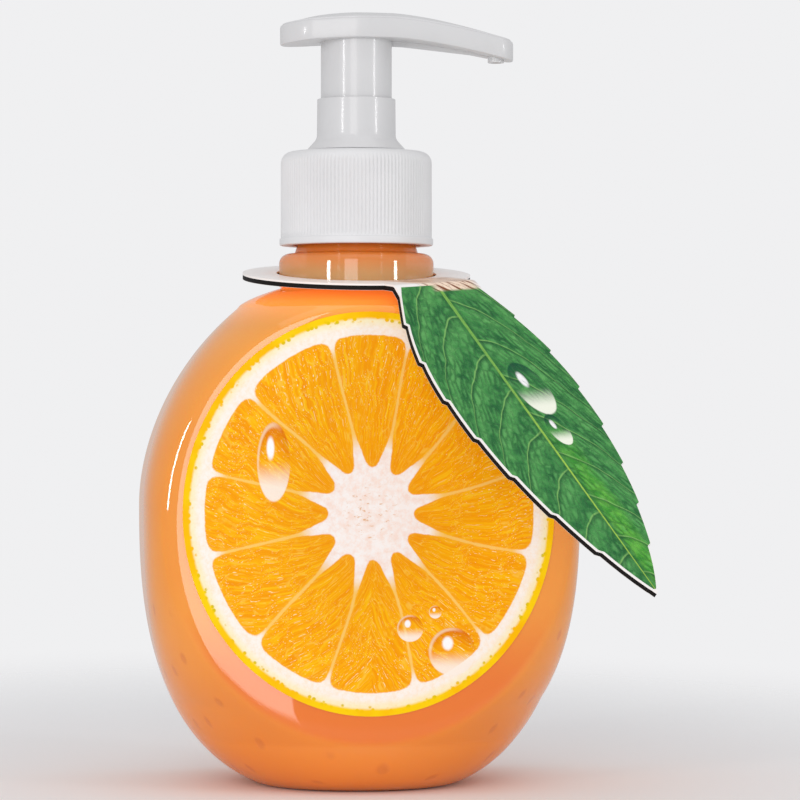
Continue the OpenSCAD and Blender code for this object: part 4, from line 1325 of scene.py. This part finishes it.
    def skirt_surface(self) -> Surface:
        """The hollow skirt under the cap, and the short mouth under the spout's tip."""
        top = self.edge_z - self.side_h + self.root
        skirt = turned(rounded_path([
            (self.skirt_r - self.skirt_wall, self.skirt_z, 0.2),
            (self.skirt_r, self.skirt_z, 0.2),
            (self.skirt_r, top, 0.0),
            (self.skirt_r - self.skirt_wall, top, 0.0),
        ]), 160)
        boss = turned(rounded_path([
            (self.boss_bore, self.skirt_z + self.boss_in, 0.2),
            (self.boss_r, self.skirt_z + self.boss_in, 0.2),
            (self.boss_r, top, 0.0),
            (self.boss_bore, top, 0.0),
        ]), 64)
        x = self.spout_l - self.mouth_in
        level = float(self.side_edge(np.array([x]))[0]) - self.side_h
        mouth = turned(rounded_path([
            (self.mouth_bore, level - self.mouth_l, 0.1),
            (self.mouth_r, level - self.mouth_l, 0.15),
            (self.mouth_r, level + 0.6, 0.0),
            (self.mouth_bore, level + 0.6, 0.0),
        ]), 48)
        mouth.points = mouth.points + [x, 0, 0]
        return skirt.joined(boss).joined(mouth)


# ---------------------------------------------------------------- whole object


class Body(Enum):
    """Names of the moving bodies."""

    BOTTLE = "bottle"
    PUMP = "pump"
    CLOSURE = "closure"
    PLUNGER = "plunger"
    HEAD = "head"
    BALL = "ball"


class SoapBottle:
    """Builds and dresses every piece of the bottle and its pump."""

    stroke: float = 9.0

    def __init__(self, nodes: dict[str, bpy.types.Object]) -> None:
        """Keeps the CAD nodes and makes the finishes.

        Args:
            nodes: the CAD nodes by name.
        """
        self.nodes = nodes
        self.finishes = Finishes()

    def piece(self, name: str, surface: Surface, material: bpy.types.Material, body: Body,
              *replaced: str, sharp_deg: float = 40.0) -> None:
        """Adds a piece that stands for CAD nodes.

        Args:
            name: the piece's name.
            surface: its surface.
            material: its finish.
            body: the body that it rides on.
            *replaced: the CAD nodes that it stands for.
            sharp_deg: edges that bend more than this stay sharp.
        """
        obj = build_object(name, surface, material, sharp_deg)
        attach(obj, body.value)
        if replaced:
            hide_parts(*replaced)
        LOG.info("%s: %d points on %s", name, len(surface.points), body.value)

    def dress(self, material: bpy.types.Material, *names: str) -> None:
        """Gives CAD nodes a finish.

        Args:
            material: the finish.
            *names: the nodes.
        """
        for name in names:
            mesh = self.nodes[name].data
            mesh.materials.clear()
            mesh.materials.append(material)
            LOG.info("%s: dressed with %s", name, material.name)

    def bottle(self) -> None:
        """Builds the bottle, its soap and its label."""
        body = BottleBody()
        shell = body.surface().joined(body.thread())
        self.piece("bottle_wall", shell, body.finish(self.finishes), Body.BOTTLE, "bottle_shell", sharp_deg=60)
        label = FruitLabel(body)
        self.piece("slice_label", label.surface(), label.finish(self.finishes), Body.BOTTLE,
                   "label_film", "label_rind", "label_pulp", sharp_deg=60)
        pearly = Gloss(rough=0.25, subsurface=0.2)
        self.dress(self.finishes.moulded("pearly_soap", srgb(240, 140, 60), pearly, 0.05, 0.0), "soap_fill")

    def tag(self) -> None:
        """Dresses the leaf tag."""
        tag = LeafTag()
        self.dress(tag.card_finish(self.finishes), "tag_card")
        self.dress(tag.leaf_finish(self.finishes), "leaf_print")
        self.dress(tag.backing_finish(self.finishes), "tag_backing")

    def pump(self) -> None:
        """Builds the closure, the collar and the head."""
        make = self.finishes.moulded
        shiny = Gloss(rough=0.34, specular=0.4, coat=0.4, coat_rough=0.09)
        satin = Gloss(rough=0.42, specular=0.4)
        soft = Gloss(rough=0.34, specular=0.4, coat=0.25, coat_rough=0.1)
        white = make("pump_white_plastic", srgb(218, 218, 219), shiny, 0.015, 0.004)
        cap = make("closure_white_plastic", srgb(230, 230, 231), satin, 0.015, 0.008)
        cover = make("cover_white_plastic", srgb(220, 220, 221), soft, 0.015, 0.004)
        closure, collar, head = Closure(), Collar(), PumpHead()
        ribbed = closure.surface().joined(closure.thread())
        self.piece("ribbed_closure", ribbed, cap, Body.CLOSURE, "closure_cap")
        self.piece("pump_collar", collar.surface(), white, Body.PUMP, "collar")
        pressed = head.body_surface().joined(head.skirt_surface())
        self.piece("spout_head", pressed, white, Body.HEAD, "actuator_head")
        self.piece("spout_cover", head.cover_surface(), cover, Body.HEAD, "head_cover")

    def inner_parts(self) -> None:
        """Dresses what works inside the closure and the bottle."""
        make = self.finishes.moulded
        plain = make("inner_natural_plastic", srgb(236, 235, 228), Gloss(rough=0.45), 0.02, 0.01)
        self.dress(plain, "pump_housing", "dip_tube", "stem", "piston", "piston_seat")
        foam = Gloss(rough=0.75, specular=0.3)
        self.dress(make("gasket_foam", srgb(214, 213, 208), foam, 0.05, 0.04), "neck_gasket")
        steel = make("spring_steel", srgb(196, 197, 200), Gloss(rough=0.24, metal=1.0), 0.03, 0.004, 0.2)
        self.dress(steel, "inlet_ball", "return_spring")
        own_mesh(self.nodes["return_spring"])


# ---------------------------------------------------------------------- studio


@dataclass(frozen=True)
class Studio:
    """The camera at the photograph's viewing angle, the floor, the sky and the soft lamps."""

    yaw_deg: float = 6.0
    distance: float = 776.0
    height: float = 85.0
    frame_width: float = 176.0
    shift_x: float = 0.0546
    shift_y: float = -0.0075
    lamp_aim: float = 90.0
    floor_half: float = 2.0
    fade_x: float = 260.0
    fade_y: float = 420.0
    sky_light: Colour = (0.62, 0.62, 0.63)
    sky_seen: Colour = (0.87, 0.87, 0.88)

    def camera(self) -> None:
        """Places a level camera to the left of the front; its frame width is set at the pump's axis."""
        data = bpy.data.cameras.new("camera")
        data.sensor_width = 36.0
        data.lens = 36.0 * self.distance / self.frame_width
        data.shift_x, data.shift_y = self.shift_x, self.shift_y
        data.clip_start, data.clip_end = 0.01, 20
        cam = bpy.data.objects.new("camera", data)
        a = math.radians(self.yaw_deg)
        cam.location = (-self.distance * math.sin(a) * MM, -self.distance * math.cos(a) * MM, self.height * MM)
        cam.rotation_euler = (math.pi / 2, 0, -a)
        bpy.context.scene.collection.objects.link(cam)
        bpy.context.scene.camera = cam

    def lamp(self, name: str, azimuth: float, elevation: float, away: float, size: tuple[float, float],
             power: float, tint: Colour = (1.0, 1.0, 1.0)) -> None:
        """Adds a soft box that faces the bottle.

        Args:
            name: its name.
            azimuth: degrees round from the front, positive towards the spout.
            elevation: degrees above the level of the bottle's middle.
            away: distance in metres.
            size: width and height in metres.
            power: watts.
            tint: colour of its light.
        """
        data = bpy.data.lights.new(name, "AREA")
        data.shape = "RECTANGLE"
        data.size, data.size_y = size
        data.energy = power
        data.color = tint
        lamp = bpy.data.objects.new(name, data)
        a, e = math.radians(azimuth), math.radians(elevation)
        flat = away * math.cos(e)
        lamp.location = (flat * math.sin(a), -flat * math.cos(a), self.lamp_aim * MM + away * math.sin(e))
        lamp.rotation_euler = (math.pi / 2 - e, 0, a)
        bpy.context.scene.collection.objects.link(lamp)

    def lamps(self) -> None:
        """Places two short strips beside the camera, a broad soft front and a soft top."""
        self.lamp("strip_left", -47, 8, 0.9, (0.08, 0.22), 0.95)
        self.lamp("strip_right", 54, 8, 0.9, (0.08, 0.22), 0.8)
        self.lamp("broad_left", -14, 9, 1.2, (0.42, 0.9), 3.1, (1.0, 0.97, 0.97))
        self.lamp("soft_top", 0, 80, 0.9, (0.9, 0.9), 1.0)

    def floor(self) -> None:
        """Lays a plain pale sheet under the bottle that fades into the pale surround with distance."""
        half = self.floor_half
        points = [(-half, -half, 0), (half, -half, 0), (half, half, 0), (-half, half, 0)]
        mesh = bpy.data.meshes.new("floor")
        mesh.from_pydata(points, [], [(0, 1, 2, 3)])
        mat = bpy.data.materials.new("pale_floor")
        mat.use_nodes = True
        g = Graph(mat.node_tree)
        shader = next(n for n in mat.node_tree.nodes if n.type == "BSDF_PRINCIPLED")
        shader.inputs["Roughness"].default_value = 0.8
        shader.inputs["Specular IOR Level"].default_value = 0.1
        x, y, _ = g.split(g.place())
        far = g.vector("LENGTH", g.join(g.over(x, self.fade_x), g.over(y, self.fade_y)))
        g.feed(shader.inputs["Alpha"], g.step(far, 1.0, 0.3))
        cloud = g.noise(g.place(), 0.004)
        g.feed(shader.inputs["Base Color"], g.mix(cloud, srgb(244, 244, 245), srgb(248, 248, 249)))
        mesh.materials.append(mat)
        obj = bpy.data.objects.new("floor", mesh)
        bpy.context.scene.collection.objects.link(obj)

    def sky(self) -> None:
        """Sets an even pale surround."""
        world = bpy.data.worlds.new("studio")
        bpy.context.scene.world = world
        world.use_nodes = True
        g = Graph(world.node_tree)
        back = next(n for n in world.node_tree.nodes if n.type == "BACKGROUND")
        seen = g.node("ShaderNodeLightPath").outputs["Is Camera Ray"]
        g.feed(back.inputs["Color"], g.mix(seen, self.sky_light, self.sky_seen))
        back.inputs["Strength"].default_value = 1.0

    def build(self) -> None:
        """Sets up the camera, the lamps, the floor and the surround."""
        bpy.context.scene.view_settings.view_transform = "Standard"
        self.camera()
        self.lamps()
        self.floor()
        self.sky()


def main() -> None:
    """Builds the studio and the bottle, in order."""
    logging.basicConfig(level=logging.INFO)
    Studio().build()
    made = SoapBottle(frame["nodes"])
    made.bottle()
    made.tag()
    made.pump()
    made.inner_parts()


if __name__ == "__main__":
    main()
